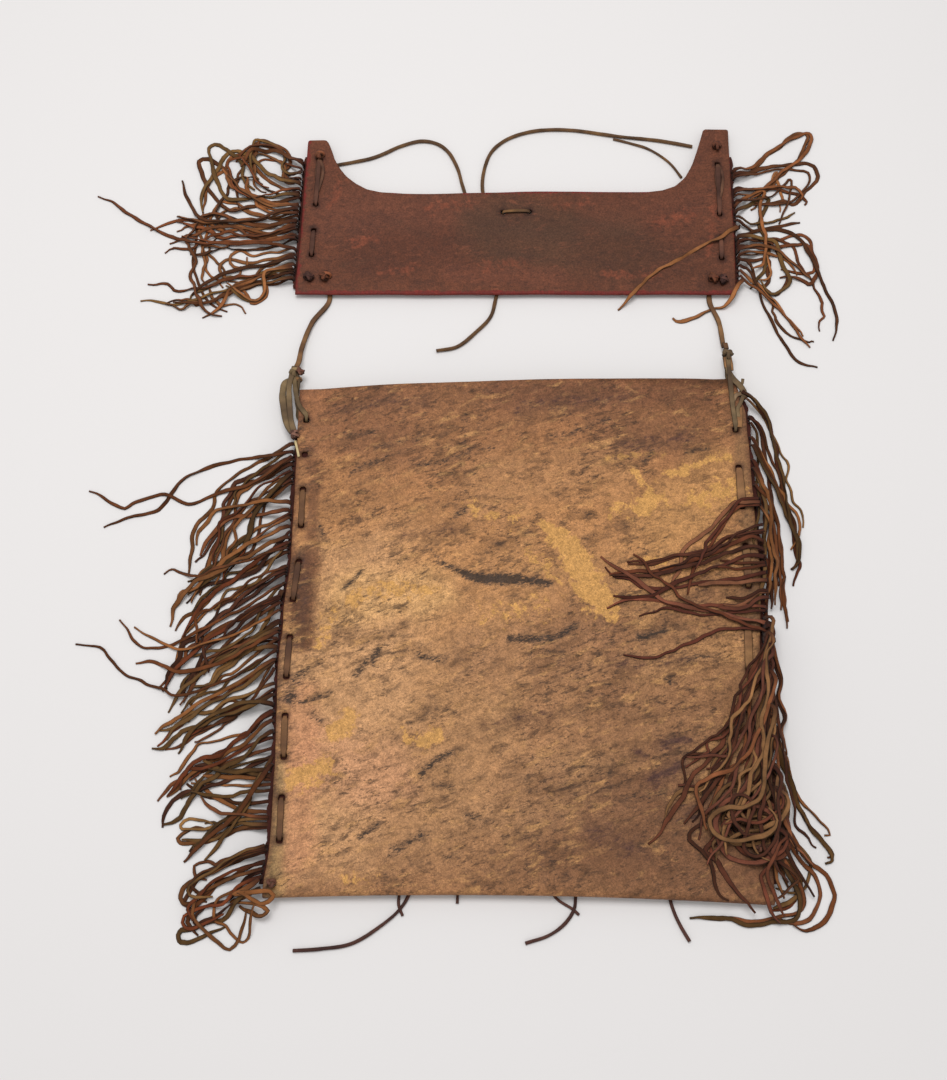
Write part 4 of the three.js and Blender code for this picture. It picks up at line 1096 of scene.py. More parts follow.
def horned_panel():
    rows = {0, 0.0006, 0.002, 0.005, 0.995, 0.998, 0.9994, 1}
    for start, end in ((0.005, 0.26), (0.26, 0.74), (0.74, 0.995)):
        rows.update(mix(start, end, i / PANEL_STEPS) for i in range(PANEL_STEPS + 1))
    rows = sorted(rows)
    columns = stations(PANEL_DEPTH, PANEL_ROW_STEP)
    outer = []
    inner = []
    for u in rows:
        top = panel_top_edge(u)
        for v in columns:
            y = mix(PANEL_BOTTOM, top, v)
            wave = 0.45 * waver(0, y, 41, 26)
            x = mix(panel_left_edge(y) + wave, panel_right_edge(y) + wave, u)
            y += 0.5 * waver(x, 0, 42, 40) * (1 if v < 0.5 else 1.3)
            side = min(u, 1 - u) * PANEL_WIDTH
            end = min(v, 1 - v) * PANEL_DEPTH
            half = PANEL_THICK / 2 * rounded(side) * rounded(end)
            ripple = 0.14 * waver(x, y, 43, 22) * smooth(min(side, end) / 12)
            middle = PANEL_RISE + PANEL_THICK / 2
            outer.append(Vector((x, y, middle - half + ripple)))
            inner.append(Vector((x, y, middle + half + ripple)))
    shape = Shape()
    faces = [tuple(reversed(face)) for face in sheet_faces(len(rows), len(columns))]
    shape.add(inner + outer, faces)
    return shape


panel = sheet_piece(
    horned_panel(), "cover_panel_hide", panel_hide, PANEL_HOLES, PANEL_HOLE_RADIUS, panel_paint,
)
seat(panel, "panel", "panel_rawhide", "cover_panel")


# %% [markdown]
# What lies on what.
# A strand that falls across another lies on top of it. To pile the strands up as they lie, we
# keep a map of heights: every strand is laid on the map, and then raises it. It starts with
# the upper faces of the pouch and the panel, so strands that fall over an edge lie on them.

# %% A map of heights
CELL = 1.5
MAP_LOW = (-320.0, -230.0)
MAP_SIZE = (400, 430)
# Width of the bands at the sides where the lacing lies
POUCH_BAND = 12
PANEL_BAND = 14
# How steeply a strand climbs, how far ahead it feels the pile, and how fast it leaves its root
STEEPEST = 0.55
FEELS_AHEAD = 14
LEAVES_ROOT = 20
SINK = 0.45


class Pile:
    """Height of what lies at each place, in millimetres."""

    def __init__(self):
        self.top = np.zeros(MAP_SIZE)
        for i in range(MAP_SIZE[0]):
            x = MAP_LOW[0] + i * CELL
            for j in range(MAP_SIZE[1]):
                y = MAP_LOW[1] + j * CELL
                self.top[i, j] = self.base(x, y)

    def base(self, x, y):
        fold = POUCH_BOTTOM + FOLD_SKEW
        if fold < y < POUCH_TOP + 4 and left_edge(y) - 0.5 < x < right_edge(y) + 0.5:
            height = back_surface(x, y)
            if min(x - left_edge(y), right_edge(y) - x) < POUCH_BAND:
                height = max(height, STITCH_ABOVE + THONG_THICK / 2)
            return height
        if PANEL_BOTTOM - 0.5 < y and PANEL_LEFT - 0.5 < x < PANEL_RIGHT + 3:
            u = (x - PANEL_LEFT) / (PANEL_WIDTH + 2)
            if 0 <= u <= 1 and y < panel_top_edge(u) + 0.5:
                near = min(x - PANEL_LEFT, PANEL_RIGHT - x) < PANEL_BAND
                return PANEL_STITCH_ABOVE + THONG_THICK / 2 if near else PANEL_TOP
        return 0.0

    def cell(self, x, y):
        i = int((x - MAP_LOW[0]) / CELL + 0.5)
        j = int((y - MAP_LOW[1]) / CELL + 0.5)
        return min(MAP_SIZE[0] - 2, max(1, i)), min(MAP_SIZE[1] - 2, max(1, j))

    def lay(self, path, depth, root_z):
        """Lift a path so that it lies on the pile, and raise the pile along it."""
        count = len(path)
        raw = []
        for place in path:
            i, j = self.cell(place.x, place.y)
            raw.append(float(self.top[i - 1:i + 2, j - 1:j + 2].max()) + depth * SINK)
        spacing = path_length(path) / max(1, count - 1)
        reach = int(FEELS_AHEAD / spacing) + 1
        heights = []
        for i in range(count):
            near = range(max(0, i - reach), min(count, i + reach + 1))
            climbed = max(raw[k] - STEEPEST * spacing * abs(i - k) for k in near)
            heights.append(max(climbed, mix(root_z, 0, smooth(i * spacing / LEAVES_ROOT))))
        heights[0] = root_z
        for _ in range(2):
            heights = [heights[0]] + [
                max(raw[i], (heights[i - 1] + 2 * heights[i] + heights[i + 1]) / 4)
                for i in range(1, count - 1)
            ] + [heights[-1]]
        for place, height in zip(path, heights):
            place.z = max(height, depth / 2 + 0.05)
        for place in path[2:]:
            i, j = self.cell(place.x, place.y)
            here = place.z + depth * 0.25
            self.top[i, j] = max(self.top[i, j], here)
            for di, dj in ((1, 0), (-1, 0), (0, 1), (0, -1)):
                self.top[i + di, j + dj] = max(self.top[i + di, j + dj], here - depth * 0.2)


pile = Pile()
print("map of heights:", MAP_SIZE[0], "by", MAP_SIZE[1], "cells")


# %% [markdown]
# Fringes.
# Each fringe is one strip of buckskin, slit with a knife into strands a few millimetres wide.
# Its uncut heading is laced between the layers, and only a narrow dark edge of it shows. The
# strands were cut straight, and years of handling curled them. Hair particles could do this,
# but cut strands are flat, so each one is swept along its own route. We read the clearest
# strands one by one, and let the others follow a neighbour with a drift of their own.

# %% Strands
STRAND_WIDTH = 2.4
STRAND_DEPTH = 0.9
STRAND_STEP = 1.7
STRAND_SIDES = 8
DRIFT_STEP = 4.0


def drifted(route, seed, spread, root_shift):
    """A neighbour of a route: it starts beside it and drifts away from it."""
    chance = random.Random(seed)
    path = smooth_path(route, DRIFT_STEP)
    total = max(1, len(path) - 1)
    loose = min(1, spread / 2)
    stretch = mix(1, chance.uniform(0.72, 1.08), loose)
    lean = chance.uniform(-0.17, 0.17) * loose
    result = []
    start = path[0]
    for i, place in enumerate(path):
        share = i / total
        offset = place - start
        turned = Vector((
            offset.x * math.cos(lean) - offset.y * math.sin(lean),
            offset.x * math.sin(lean) + offset.y * math.cos(lean), 0,
        )) * stretch
        s = i * DRIFT_STEP
        wander = Vector((waver(s, 0, seed, 26), waver(s, 50, seed, 26), 0))
        wander += 0.6 * Vector((waver(s, 20, seed, 11), waver(s, 70, seed, 11), 0))
        result.append(start + turned + wander * spread * smooth(share * 1.4) * 2)
    shift = chance.uniform(-root_shift, root_shift)
    return [p + Vector((0, shift, 0)) for p in result]


def rooted(path, edge, outward, reach):
    """Start a strand at the outer edge of its heading, level with its own first point."""
    y = path[0].y
    root = Vector((edge(y) + outward * reach, y, 0))
    shift = root - path[0]
    count = len(path)
    return [p + shift * (1 - smooth(i / max(1, count - 1) * 3)) for i, p in enumerate(path)]


def strand(shape, path, root_z, tint, seed):
    """Sweep one cut strand: flat, uneven, rolled over in places and with painted edge shade."""
    path = [p + 0.8 * smooth(i / 8) * Vector((waver(i, 0, seed, 4.5), waver(i, 40, seed, 4.5), 0))
            for i, p in enumerate(even(path, STRAND_STEP))]
    if len(path) < 4:
        return
    chance = random.Random(seed)
    count = len(path)
    wide = STRAND_WIDTH * chance.uniform(0.72, 1.25)
    restless = chance.uniform(0.6, 1.6)
    widths, depths, twists, colours = [], [], [], []
    pile.lay(path, STRAND_DEPTH, root_z)
    for i in range(count):
        s = i * STRAND_STEP
        share = i / (count - 1)
        tip = 1 - 0.55 * smooth((share - 0.86) / 0.14)
        swell = 1 + 0.30 * waver(s, 0, seed, 16) + 0.14 * waver(s, 11, seed, 5)
        widths.append(max(1.1, wide * tip * swell))
        depths.append(0.85 + 0.2 * waver(s, 5, seed, 9))
        turn = restless * (1.1 * waver(s, 31, seed, 24) + 0.35 * waver(s, 41, seed, 7))
        twists.append(turn * smooth(s / 12))
        colour = tint * (1 + 0.20 * waver(s, 17, seed, 12) + 0.12 * waver(s, 23, seed, 4))
        # Painted shade: the strand darkens towards its root, where it comes out from between the
        # layers
        colours.append(mix(srgb("2E1610"), colour, 0.25 + 0.75 * smooth(s / 13)))
    points, faces = sweep(path, widths, depths, twists, STRAND_SIDES, bluntness=0.5)
    for point in points:
        point.z = max(0.03, point.z)
    # Painted shade along the two cut edges, and painted light on the faces between them
    shape.add(points, faces, ring_tints(colours, STRAND_SIDES, 0.55, 1.12))


# %% [markdown]
# The heading is the part of the strip that isn't slit. It lies between the layers, and its outer
# edge is ragged, because no two slits end at the same place.

# %% Headings
HEADING_INSIDE = 13


def heading_strip(edge, outward, low, high, z, reach, rows):
    """The uncut edge of a fringe, a little ragged where the strands begin, in painted shade."""
    outer = []
    under = []
    places = [-HEADING_INSIDE, -HEADING_INSIDE / 2, 0, reach * 0.2, reach * 0.35, reach * 0.45]
    for r in range(rows + 1):
        y = mix(low, high, r / rows)
        for place in places:
            ragged = 1.4 * waver(0, y, 51, 5) + 0.8 * waver(0, y, 54, 2) if place > 0 else 0
            x = edge(y) + outward * (place + ragged)
            lift = 0.18 * waver(x, y, 52, 7) if place > 0 else 0
            outer.append(Vector((x, y, z + HEADING / 2 * 0.9 + lift)))
            under.append(Vector((x, y, z - HEADING / 2 * 0.9 + lift)))
    shape = Shape()
    faces = sheet_faces(rows + 1, len(places))
    if outward > 0:
        faces = [tuple(reversed(face)) for face in faces]
    points = outer + under
    # Painted shade: the heading is tinted much darker than its strands, where it comes out from
    # between the layers
    tints = [srgb("40201A") * (1 + 0.25 * waver(p.x, p.y, 53, 8)) for p in points]
    shape.add(points, faces, tints)
    return shape


# %% [markdown]
# The left fringe of the pouch fans out over the floor and sweeps down, and a few long strays
# reach out to the side. The routes below run from the root outward, in millimetres.

# %% Left fringe of the pouch
# Each family: number of strands, how far they drift in millimetres, and the route of the first
LEFT_ROUTES = [
    (3, 3.0, [(-148, 118), (-160, 112), (-176, 101), (-187, 92), (-193, 83), (-193, 75),
              (-197, 68), (-202.6, 62), (-204.4, 52.5), (-204.3, 40.5), (-205, 24)]),
    (4, 3.0, [(-148, 104), (-164, 97), (-180, 87), (-185, 74.5), (-187.5, 62), (-191, 48),
              (-194.6, 34.5)]),
    (5, 3.0, [(-148, 92), (-160, 84), (-176, 73), (-188, 60), (-196, 46), (-200, 32), (-203, 20)]),
    (3, 2.5, [(-148, 71), (-153.5, 71), (-170.6, 70), (-184, 66.5), (-190.6, 60), (-197, 50),
              (-199.4, 42)]),
    (5, 3.0, [(-149, 67), (-164.5, 57), (-181, 43), (-194, 30), (-203, 20), (-206.5, 10)]),
    (5, 3.0, [(-149, 50), (-164, 40), (-180, 27), (-194, 15), (-204, 2), (-208, -10)]),
    (6, 3.5, [(-149, 34.5), (-163, 26), (-179, 13), (-192, 5), (-200.6, -4), (-207, -12),
              (-209, -24), (-210.6, -35)]),
    (6, 3.5, [(-150, 14), (-166, 5), (-182, -8), (-196, -20), (-206, -32), (-212, -46)]),
    (5, 3.5, [(-151, -6), (-168, -17), (-184, -28), (-198, -38), (-208, -50), (-214, -62)]),
    (5, 3.5, [(-152, -26), (-168, -38), (-184, -48), (-200, -58), (-212, -68), (-221, -76)]),
    (5, 3.5, [(-152, -44), (-166, -55), (-182, -64), (-198, -73), (-210, -82), (-218, -84)]),
    (6, 3.5, [(-150, -63), (-158, -68), (-165, -75.5), (-171.5, -78), (-180, -84), (-189, -88),
              (-201, -96.5), (-206.6, -104), (-212, -107)]),
    (5, 3.0, [(-151, -80), (-164, -84), (-178, -90), (-194, -96), (-208, -104), (-215, -114)]),
    (4, 2.5, [(-151, -93), (-160, -93), (-174, -93), (-186, -91)]),
    (4, 2.5, [(-151, -101), (-161, -101), (-173, -100), (-183, -98), (-198, -96.5)]),
    (4, 2.5, [(-151, -117), (-164, -116), (-175, -111), (-184, -106), (-191, -102), (-195, -98)]),
    (3, 2.5, [(-151, -121), (-167, -122), (-179, -125), (-191, -128), (-199.5, -128),
              (-206, -127), (-205, -123), (-198.5, -121), (-184, -124)]),
    (4, 2.5, [(-151, -126), (-168, -126), (-177, -130), (-186, -132), (-200, -132.4)]),
    (5, 3.0, [(-151, -137), (-164, -141), (-173, -145), (-185, -152), (-194, -157),
              (-199.5, -161), (-197, -167), (-190.6, -168), (-183, -167)]),
    (4, 2.5, [(-151, -147), (-164, -150), (-178, -156), (-190, -166), (-196, -174), (-192, -181)]),
    (4, 2.5, [(-151, -155), (-163, -160), (-171, -171), (-183, -173), (-190, -176.5),
              (-195.5, -180), (-195, -184), (-192, -186.6), (-185, -184), (-171, -177.6)]),
    (2, 2.0, [(-151, -150), (-172, -158), (-188, -168), (-190, -178), (-185, -184), (-178, -190),
              (-170.6, -194.5), (-165, -196.7), (-160, -193), (-158, -188), (-157, -175)]),
    (2, 1.5, [(-151, -161), (-160, -166), (-168, -168.5), (-159, -168.5), (-147.6, -171),
              (-144.5, -174), (-150, -176.5), (-155.6, -174), (-162, -169.6)]),
    (4, 3.0, [(-149, 98), (-158, 84), (-166, 70), (-168, 54), (-178, 38), (-190, 26), (-202, 16)]),
    (3, 3.0, [(-149, 58), (-156, 44), (-166, 30), (-180, 24), (-196, 20), (-208, 8)]),
    (3, 3.0, [(-150, 24), (-158, 8), (-164, -8), (-176, -20), (-190, -24), (-206, -30)]),
    (4, 3.0, [(-151, -14), (-162, -13), (-176, -17), (-190, -26), (-200, -40)]),
    (3, 3.0, [(-152, -30), (-160, -48), (-172, -60), (-188, -66), (-204, -70)]),
    (3, 2.5, [(-151, -54), (-164, -52), (-180, -56), (-196, -66), (-206, -80)]),
    (4, 2.5, [(-151, -84), (-158, -102), (-166, -120), (-178, -134), (-188, -146)]),
]
LEFT_STRAYS = [
    [(-148, 111.5), (-161, 110), (-173, 111), (-190, 107.5), (-201, 104), (-214, 97),
     (-219.5, 90.5), (-226, 79), (-231, 74.5), (-240, 72), (-250, 69), (-263, 63)],
    [(-148, 109), (-155, 104), (-165, 97), (-177, 90), (-188, 87.5), (-199, 83), (-207, 79),
     (-216, 80.6), (-222, 84), (-229, 85.6), (-238, 82.5), (-245, 80), (-251, 76), (-258, 79),
     (-266, 84), (-275, 88)],
    [(-149, 46), (-165, 41), (-180, 36), (-192.5, 32), (-198, 29), (-205, 30), (-214, 33.4),
     (-218.4, 34.6), (-222, 31.6)],
    [(-151, 22), (-170, 10), (-190, -2), (-208, -12), (-219, -16), (-231.5, -16), (-237, -12),
     (-242, -5.4), (-247.6, 1.8)],
    [(-151, 6), (-170, -6), (-190, -14), (-208, -18), (-217, -14.5), (-226, -10),
     (-233, -6.5), (-238, -3)],
    [(-151, -20), (-170, -32), (-190, -42), (-209, -47), (-216, -43), (-225, -40.5),
     (-234, -36), (-243, -31.5), (-248.6, -26), (-254, -20), (-259, -15.7), (-267, -14.5),
     (-273.4, -14)],
    [(-151, -8), (-172, -21), (-192, -30), (-210, -31.5), (-219, -27), (-226.5, -25),
     (-235, -26)],
]
FRINGE_TINTS = ["42261A", "54301A", "664024", "744A2A", "4A341C", "5E3822", "5A2E1A", "6A4C2C"]


def pick_tint(tints, seed):
    chance = random.Random(seed * 3 + 1)
    return srgb(chance.choice(tints)) * chance.uniform(0.82, 1.15)


def fringe_piece(name, families, strays, edge, outward, root_z, tints, first_seed, crowd):
    """All strands of one fringe, laid on the pile in a shuffled order and the strays last."""
    shape = Shape()
    jobs = []
    seed = first_seed
    for copies, spread, route in families:
        for number in range(max(1, round(copies * crowd))):
            seed += 1
            path = drifted(route, seed, spread if number else 0.8, 7 if number else 0.5)
            jobs.append((path, seed))
    random.Random(first_seed).shuffle(jobs)
    for route in strays:
        seed += 1
        jobs.append((smooth_path(route, 3.0), seed))
    for path, number in jobs:
        path = rooted(path, edge, outward, 1.5)
        strand(shape, path, root_z, pick_tint(tints, number), number)
    return shape.piece(name, buckskin)


left_heading = heading_strip(
    left_edge, -1, POUCH_BOTTOM + 7, 124.5, HEADING_MIDDLE, HEADING_REACH, 150,
).piece("left_heading", buckskin)
seat(left_heading, "pouch", "buckskin")
left_strands = fringe_piece(
    "left_strands", LEFT_ROUTES, LEFT_STRAYS, left_edge, -1, HEADING_MIDDLE, FRINGE_TINTS, 100,
    0.8,
)
seat(left_strands, "pouch", "buckskin", "left_fringe")

# %% [markdown]
# The right fringe of the pouch does three things at once. Some strands hang down outside the
# edge, some were folded back over the pouch, and many run down in one loose bundle that curls
# up near the lower corner. They are laid in that order, so that the bundle ends up on top.

# %% Right fringe of the pouch
RIGHT_ROUTES = [
    (4, 2.0, [(152.7, 154), (158.6, 150), (163, 143.6), (167, 137), (167, 125), (168, 113),
              (171, 95), (171, 82), (171, 67), (172, 54), (174, 42), (172, 31)]),
    (3, 2.0, [(154, 122), (162, 106), (168, 90), (170.5, 81), (175, 69), (178.7, 58), (181, 47),
              (182, 37), (180, 29), (176, 25)]),
    (4, 2.0, [(154, 138), (162, 127.6), (163, 112), (164, 97), (165, 82), (165, 67),
              (166, 50.5), (166, 34), (168, 21)]),
    (4, 1.5, [(154, 108), (158, 97), (159, 79.5), (159, 64), (159, 48), (158.6, 35.6),
              (156, 23), (154, 11)]),
    (4, 1.5, [(154, 84), (162, 67), (163, 54), (162.5, 35.6), (161.7, 23), (159.4, 6.5)]),
    (4, 1.5, [(154, 92), (161, 78), (165, 64), (166, 48), (165, 29), (163.5, 14), (163, 2),
              (162.6, -11)]),
    (3, 1.5, [(154, -4), (156, -11), (157, -27), (159, -40), (156, -53), (159, -65), (154, -79),
              (156, -92)]),
    (3, 1.5, [(153, -60), (155, -72), (156, -84), (159, -95), (160, -108), (163, -116.5),
              (167, -124), (173, -132), (178, -138), (179, -142), (175, -143)]),
    (3, 1.5, [(151, -112), (156, -124), (160, -136), (166, -146), (173.5, -153), (176, -160),
              (176, -167), (172, -175), (165.6, -180), (157, -181), (150, -177.5)]),
    (2, 1.5, [(151, -136), (156, -150), (162, -162), (160, -174), (148, -177), (138.6, -178),
              (131, -178.5), (121.6, -177), (110, -177), (99.6, -176)]),
    (3, 2.0, [(150, -92), (157, -102), (158, -116), (152, -130), (150, -146), (154, -160)]),
    (3, 2.0, [(151, -146), (157, -154), (160, -164), (154, -172), (144, -174)]),
]
FOLDED_ROUTES = [
    (3, 2.0, [(154, 74), (157, 73.5), (147, 73), (140, 73), (134, 67), (127, 57), (118, 44),
              (110.6, 34), (106.5, 23), (102, 10)]),
    (3, 2.0, [(154, 59), (157, 57), (148, 56), (138, 54), (128, 52), (122, 47), (116, 42),
              (104, 38), (90, 35.6), (74.5, 31), (58, 29)]),
    (3, 1.5, [(154, 43), (157, 43.5), (147, 46), (139, 43.6), (127, 38), (115, 32), (101, 27),
              (89, 22), (77, 19.6), (57.6, 18)]),
    (2, 1.5, [(154, 34), (157, 34), (147, 34), (134, 34), (121, 34)]),
    (2, 1.5, [(154, 24.5), (157, 24), (146, 24), (132.6, 23), (112, 22.7)]),
    (3, 1.5, [(154, 17), (157, 16), (148, 15), (142, 10), (133.6, 6.5), (124, 6.5)]),
    (2, 1.5, [(154, -5), (158, -5), (153, -3), (141.6, -1), (125, 3), (108, 7), (94, 10),
              (85, 16), (75, 24.5), (66, 32), (56, 40.5)]),
    (2, 1.5, [(154, 8), (157, 7), (146, 8), (124, 9), (100, 8), (90.6, 9.5), (79, 12.5),
              (69, 13), (59.6, 10), (52, 7)]),
    (1, 1.0, [(154, 29), (157, 29), (140, 26), (116, 22), (96, 18), (77, 18), (66, 24.5),
              (58, 24.5), (51, 32)]),
    (1, 1.0, [(154, -8), (158, -8), (148, -8), (135, -8.4), (124, -9.6), (114, -14),
              (107, -18.5), (100, -22), (76, -33), (60, -34)]),
]
BUNDLE_ROUTES = [
    (5, 2.0, [(154, -28), (157, -34), (151, -54), (147.5, -80), (147, -100), (149, -118),
              (150, -134), (153, -148), (160, -160), (167, -168)]),
    (8, 3.0, [(154, -6), (158, -9), (155, -18), (149.5, -30), (141, -44), (135, -53),
              (131, -66), (126, -79), (121, -92), (113, -104), (103, -116.5), (95.5, -126)]),
    (8, 3.0, [(154, -18), (157, -24), (149, -32), (143, -51), (135, -69), (131, -84),
              (123, -98), (117, -112), (109, -119), (100, -127.5), (97.5, -140)]),
    (2, 1.5, [(154, -26), (157, -32), (148, -46), (138, -62), (130, -78), (120, -93.5),
              (111, -92), (101, -93.5), (93, -94)]),
    (2, 1.5, [(154, -34), (157, -40), (146, -56), (134, -74), (120, -88), (104, -92),
              (95, -95), (96, -107), (97, -120)]),
    (4, 1.0, [(154, -44), (157, -48), (149, -64), (143, -82), (137, -98), (128, -108),
              (119, -115), (116, -127), (121, -138), (132, -144), (144, -142), (150, -132),
              (148, -119), (139, -113), (128, -116), (123, -124)]),
    (4, 1.7, [(153, -56), (157, -60), (150, -76), (145, -94), (142, -110), (131, -118),
              (119, -119), (113, -126), (118, -134), (130, -136), (143, -132), (150, -124),
              (146, -117)]),
    (3, 1.7, [(151, -92), (156, -98), (151, -112), (149, -126), (144, -139), (134, -146),
              (127, -141), (129, -129), (134, -118), (129, -110), (121, -112), (119, -124),
              (126, -134), (138, -134)]),
    (2, 1.6, [(150, -104), (156, -110), (149, -122), (138, -127), (124, -129), (114, -134)]),
    (2, 1.5, [(151, -100), (157, -104), (148, -118), (138, -115), (125.6, -117), (117.6, -115)]),
    (2, 1.5, [(150, -128), (156, -132), (148.6, -138), (143, -148), (140, -155), (143, -163.5),
              (146, -173), (150.6, -179)]),
    (3, 2.0, [(153, -66), (157, -70), (146, -90), (134, -108), (118, -122), (106, -132),
              (101, -137), (107, -142), (111, -149), (114.6, -156), (118, -162), (127, -173)]),
    (1, 1.0, [(153, -74), (157, -78), (146, -98), (132, -116), (118, -132), (109, -148),
              (103.6, -154), (102, -160)]),
]
FOLDED_TINTS = ["502A1F", "623728", "6C402F", "58301F", "44261B", "744A34"]
BUNDLE_TINTS = ["42251A", "60382A", "7C5838", "4E2C1E", "6A4028", "583022", "382015", "64462E"]

right_heading = heading_strip(
    right_edge, 1, POUCH_BOTTOM + 7, 155, HEADING_MIDDLE, HEADING_REACH, 150,
).piece("right_heading", buckskin)
seat(right_heading, "pouch", "buckskin")
for name, routes, tints, seed, crowd in (
    ("right_strands", RIGHT_ROUTES, FRINGE_TINTS, 300, 0.85),
    ("folded_strands", FOLDED_ROUTES, FOLDED_TINTS, 400, 0.9),
    ("bundled_strands", BUNDLE_ROUTES, BUNDLE_TINTS, 500, 0.95),
):
    piece = fringe_piece(
        name, routes, [], right_edge, 1, HEADING_MIDDLE, tints, seed, crowd,
    )
    seat(piece, "pouch", "buckskin", "right_fringe")


# %% [markdown]
# The panel has a fringe at each end, laced behind it. They lie in two tangles, and a few
# strands of the right one fell across the panel's face.

# %% Fringes of the panel
PANEL_FRINGE_REACH = 5
PANEL_HEADING_MIDDLE = PANEL_RISE - CLEARANCE - HEADING / 2
PANEL_LEFT_ROUTES = [
    (6, 3.5, [(-150, 243), (-168, 240.5), (-181, 240.5), (-190.5, 238), (-200, 235),
              (-210, 232), (-220, 227), (-230, 224), (-241, 224), (-253, 226), (-263.5, 226)]),
    (5, 4.0, [(-150, 258), (-168, 254), (-184, 250), (-198, 244), (-210, 236), (-218, 226)]),
    (5, 3.5, [(-150, 272), (-164, 271), (-178, 270.6), (-191, 271), (-204, 271.6), (-214, 271),
              (-225, 273), (-233, 276)]),
    (6, 4.0, [(-150, 288), (-165, 288), (-180, 289), (-190, 291), (-199.6, 295), (-209, 297.6),
              (-219, 295), (-224, 291), (-225.5, 280), (-227, 268), (-227, 256.5), (-224.6, 246),
              (-219, 236), (-212.6, 223), (-199.5, 214.6)]),
    (5, 3.5, [(-150, 282), (-164, 280), (-179, 279), (-201, 285.6), (-212.5, 286), (-224, 287),
              (-234, 286), (-243, 284), (-251, 280), (-256, 276.6)]),
    (5, 4.0, [(-150, 298), (-164, 300), (-178, 304), (-190, 310), (-200, 318), (-208, 328)]),
    (3, 2.5, [(-149, 306), (-166, 307), (-182, 304), (-196, 300), (-203, 306), (-210, 315),
              (-214.6, 324), (-218, 333.6), (-218.5, 343), (-213, 344), (-205, 338),
              (-198, 332), (-193.6, 323), (-186.6, 315), (-178.5, 310.5)]),
    (4, 3.0, [(-149, 316), (-162, 320), (-176, 330), (-188, 342), (-198, 346), (-204, 340),
              (-207, 330.5), (-211, 323), (-214, 315), (-215.4, 304), (-213, 294)]),
    (4, 3.0, [(-148, 326), (-158, 326), (-164.5, 335), (-162, 344.6), (-167, 354), (-175, 358),
              (-186, 361), (-188.6, 348), (-189, 337), (-186, 329), (-181, 324)]),
    (3, 2.5, [(-148, 334), (-158, 342), (-168, 350), (-180, 352), (-190, 348), (-196, 338)]),
    (3, 2.0, [(-150, 250), (-160, 247), (-171, 245), (-169.4, 235), (-171, 227.5), (-177, 224),
              (-187.5, 229), (-196.6, 235)]),
    (2, 1.5, [(-150, 262), (-170, 260), (-184, 256), (-190, 258), (-196, 259), (-203, 254),
              (-202, 246), (-196, 243), (-189, 247), (-190, 254)]),
]
PANEL_LEFT_STRAYS = [
    [(-150, 265), (-178, 270.6), (-191, 271), (-204, 271.6), (-214, 271), (-225, 273),
     (-233, 276), (-241, 280), (-250, 285), (-260, 291), (-270.5, 298), (-280, 306),
     (-291, 311)],
    [(-150, 292), (-180, 291), (-206, 288), (-216, 288), (-225, 291), (-234, 294.6)],
    [(-150, 296), (-180, 290), (-205, 288), (-216.5, 291), (-220.6, 295), (-225, 303),
     (-229, 312), (-233, 323.6)],
]
PANEL_RIGHT_ROUTES = [
    (4, 3.0, [(158, 328), (165, 333), (170, 333), (177, 340.5), (184, 348), (195, 356),
              (206, 362.5), (211.7, 364), (214, 361), (211, 352), (203.7, 342), (193.7, 334),
              (186, 326), (176, 316), (165.5, 307)]),
    (4, 3.0, [(158, 322), (169, 326), (178, 331), (186, 334), (197, 335.6), (208, 335),
              (214.5, 333), (215, 326), (210, 316), (203, 308), (194.6, 303.6), (181, 302),
              (170.5, 300.5)]),
    (4, 2.5, [(158, 314), (172, 317), (182.5, 318), (196, 316), (203.6, 314), (208, 308),
              (205.6, 307)]),
    (4, 3.0, [(158, 304), (172, 306), (186, 312), (202.6, 328), (199.7, 315), (196, 303.6),
              (191, 294), (187, 286)]),
    (4, 3.0, [(157, 290), (167, 283), (176, 285), (186, 287), (194, 289.6), (201, 292)]),
    (5, 3.5, [(156, 274), (161, 277), (171, 283), (180, 284), (189, 283), (197, 279),
              (203, 268), (207.5, 257), (211, 247), (215, 235), (218, 224), (220, 214),
              (219, 204), (216, 196)]),
    (4, 3.0, [(156, 266), (166, 270), (176.5, 273), (185, 276.5), (193, 279.5), (201, 282),
              (206, 279), (209, 270), (209.7, 259), (208.5, 251), (203, 248.6), (196.6, 249),
              (185, 252)]),
    (4, 2.5, [(156, 262), (162.6, 265), (172, 269), (184, 266), (196, 256), (206, 244)]),
    (5, 3.0, [(156, 252), (160, 249), (164, 248), (168, 236), (171, 224), (177, 211),
              (182, 198), (187, 188), (192.6, 180), (200, 175), (209, 172)]),
    (4, 2.5, [(156, 270), (168, 272), (180, 271), (184, 262), (186, 254), (189, 245),
              (189, 238), (184.6, 232), (179, 228), (174, 230), (170, 236)]),
    (4, 2.5, [(156, 258), (166, 262), (174.7, 266.6), (176.7, 256), (178.7, 247), (176, 242),
              (168, 240.6)]),
    (4, 3.0, [(157, 300), (166, 310), (177, 316), (173.5, 307), (171.6, 297), (173.7, 286.5),
              (175.6, 276), (175, 265), (171.5, 254), (164, 247)]),
    (4, 3.0, [(156, 244), (166, 236), (176, 226), (188, 214), (198, 200), (206, 188)]),
]
PANEL_RIGHT_STRAYS = [
    [(156, 282), (159, 282), (153, 280), (144.5, 274), (134, 269.6), (123, 263.5), (112, 256),
     (102, 251), (93.6, 244), (86.7, 237.6), (77.5, 227), (70.5, 220)],
    [(156, 240), (159, 239), (155, 237), (148, 228), (141.6, 222), (136.5, 222), (131, 220),
     (123, 215), (115, 212), (110, 211), (107, 214)],
]
PANEL_FRINGE_TINTS = ["5A3620", "6E4226", "7C5030", "4A2C1A", "663A22", "5E4426", "74482A"]

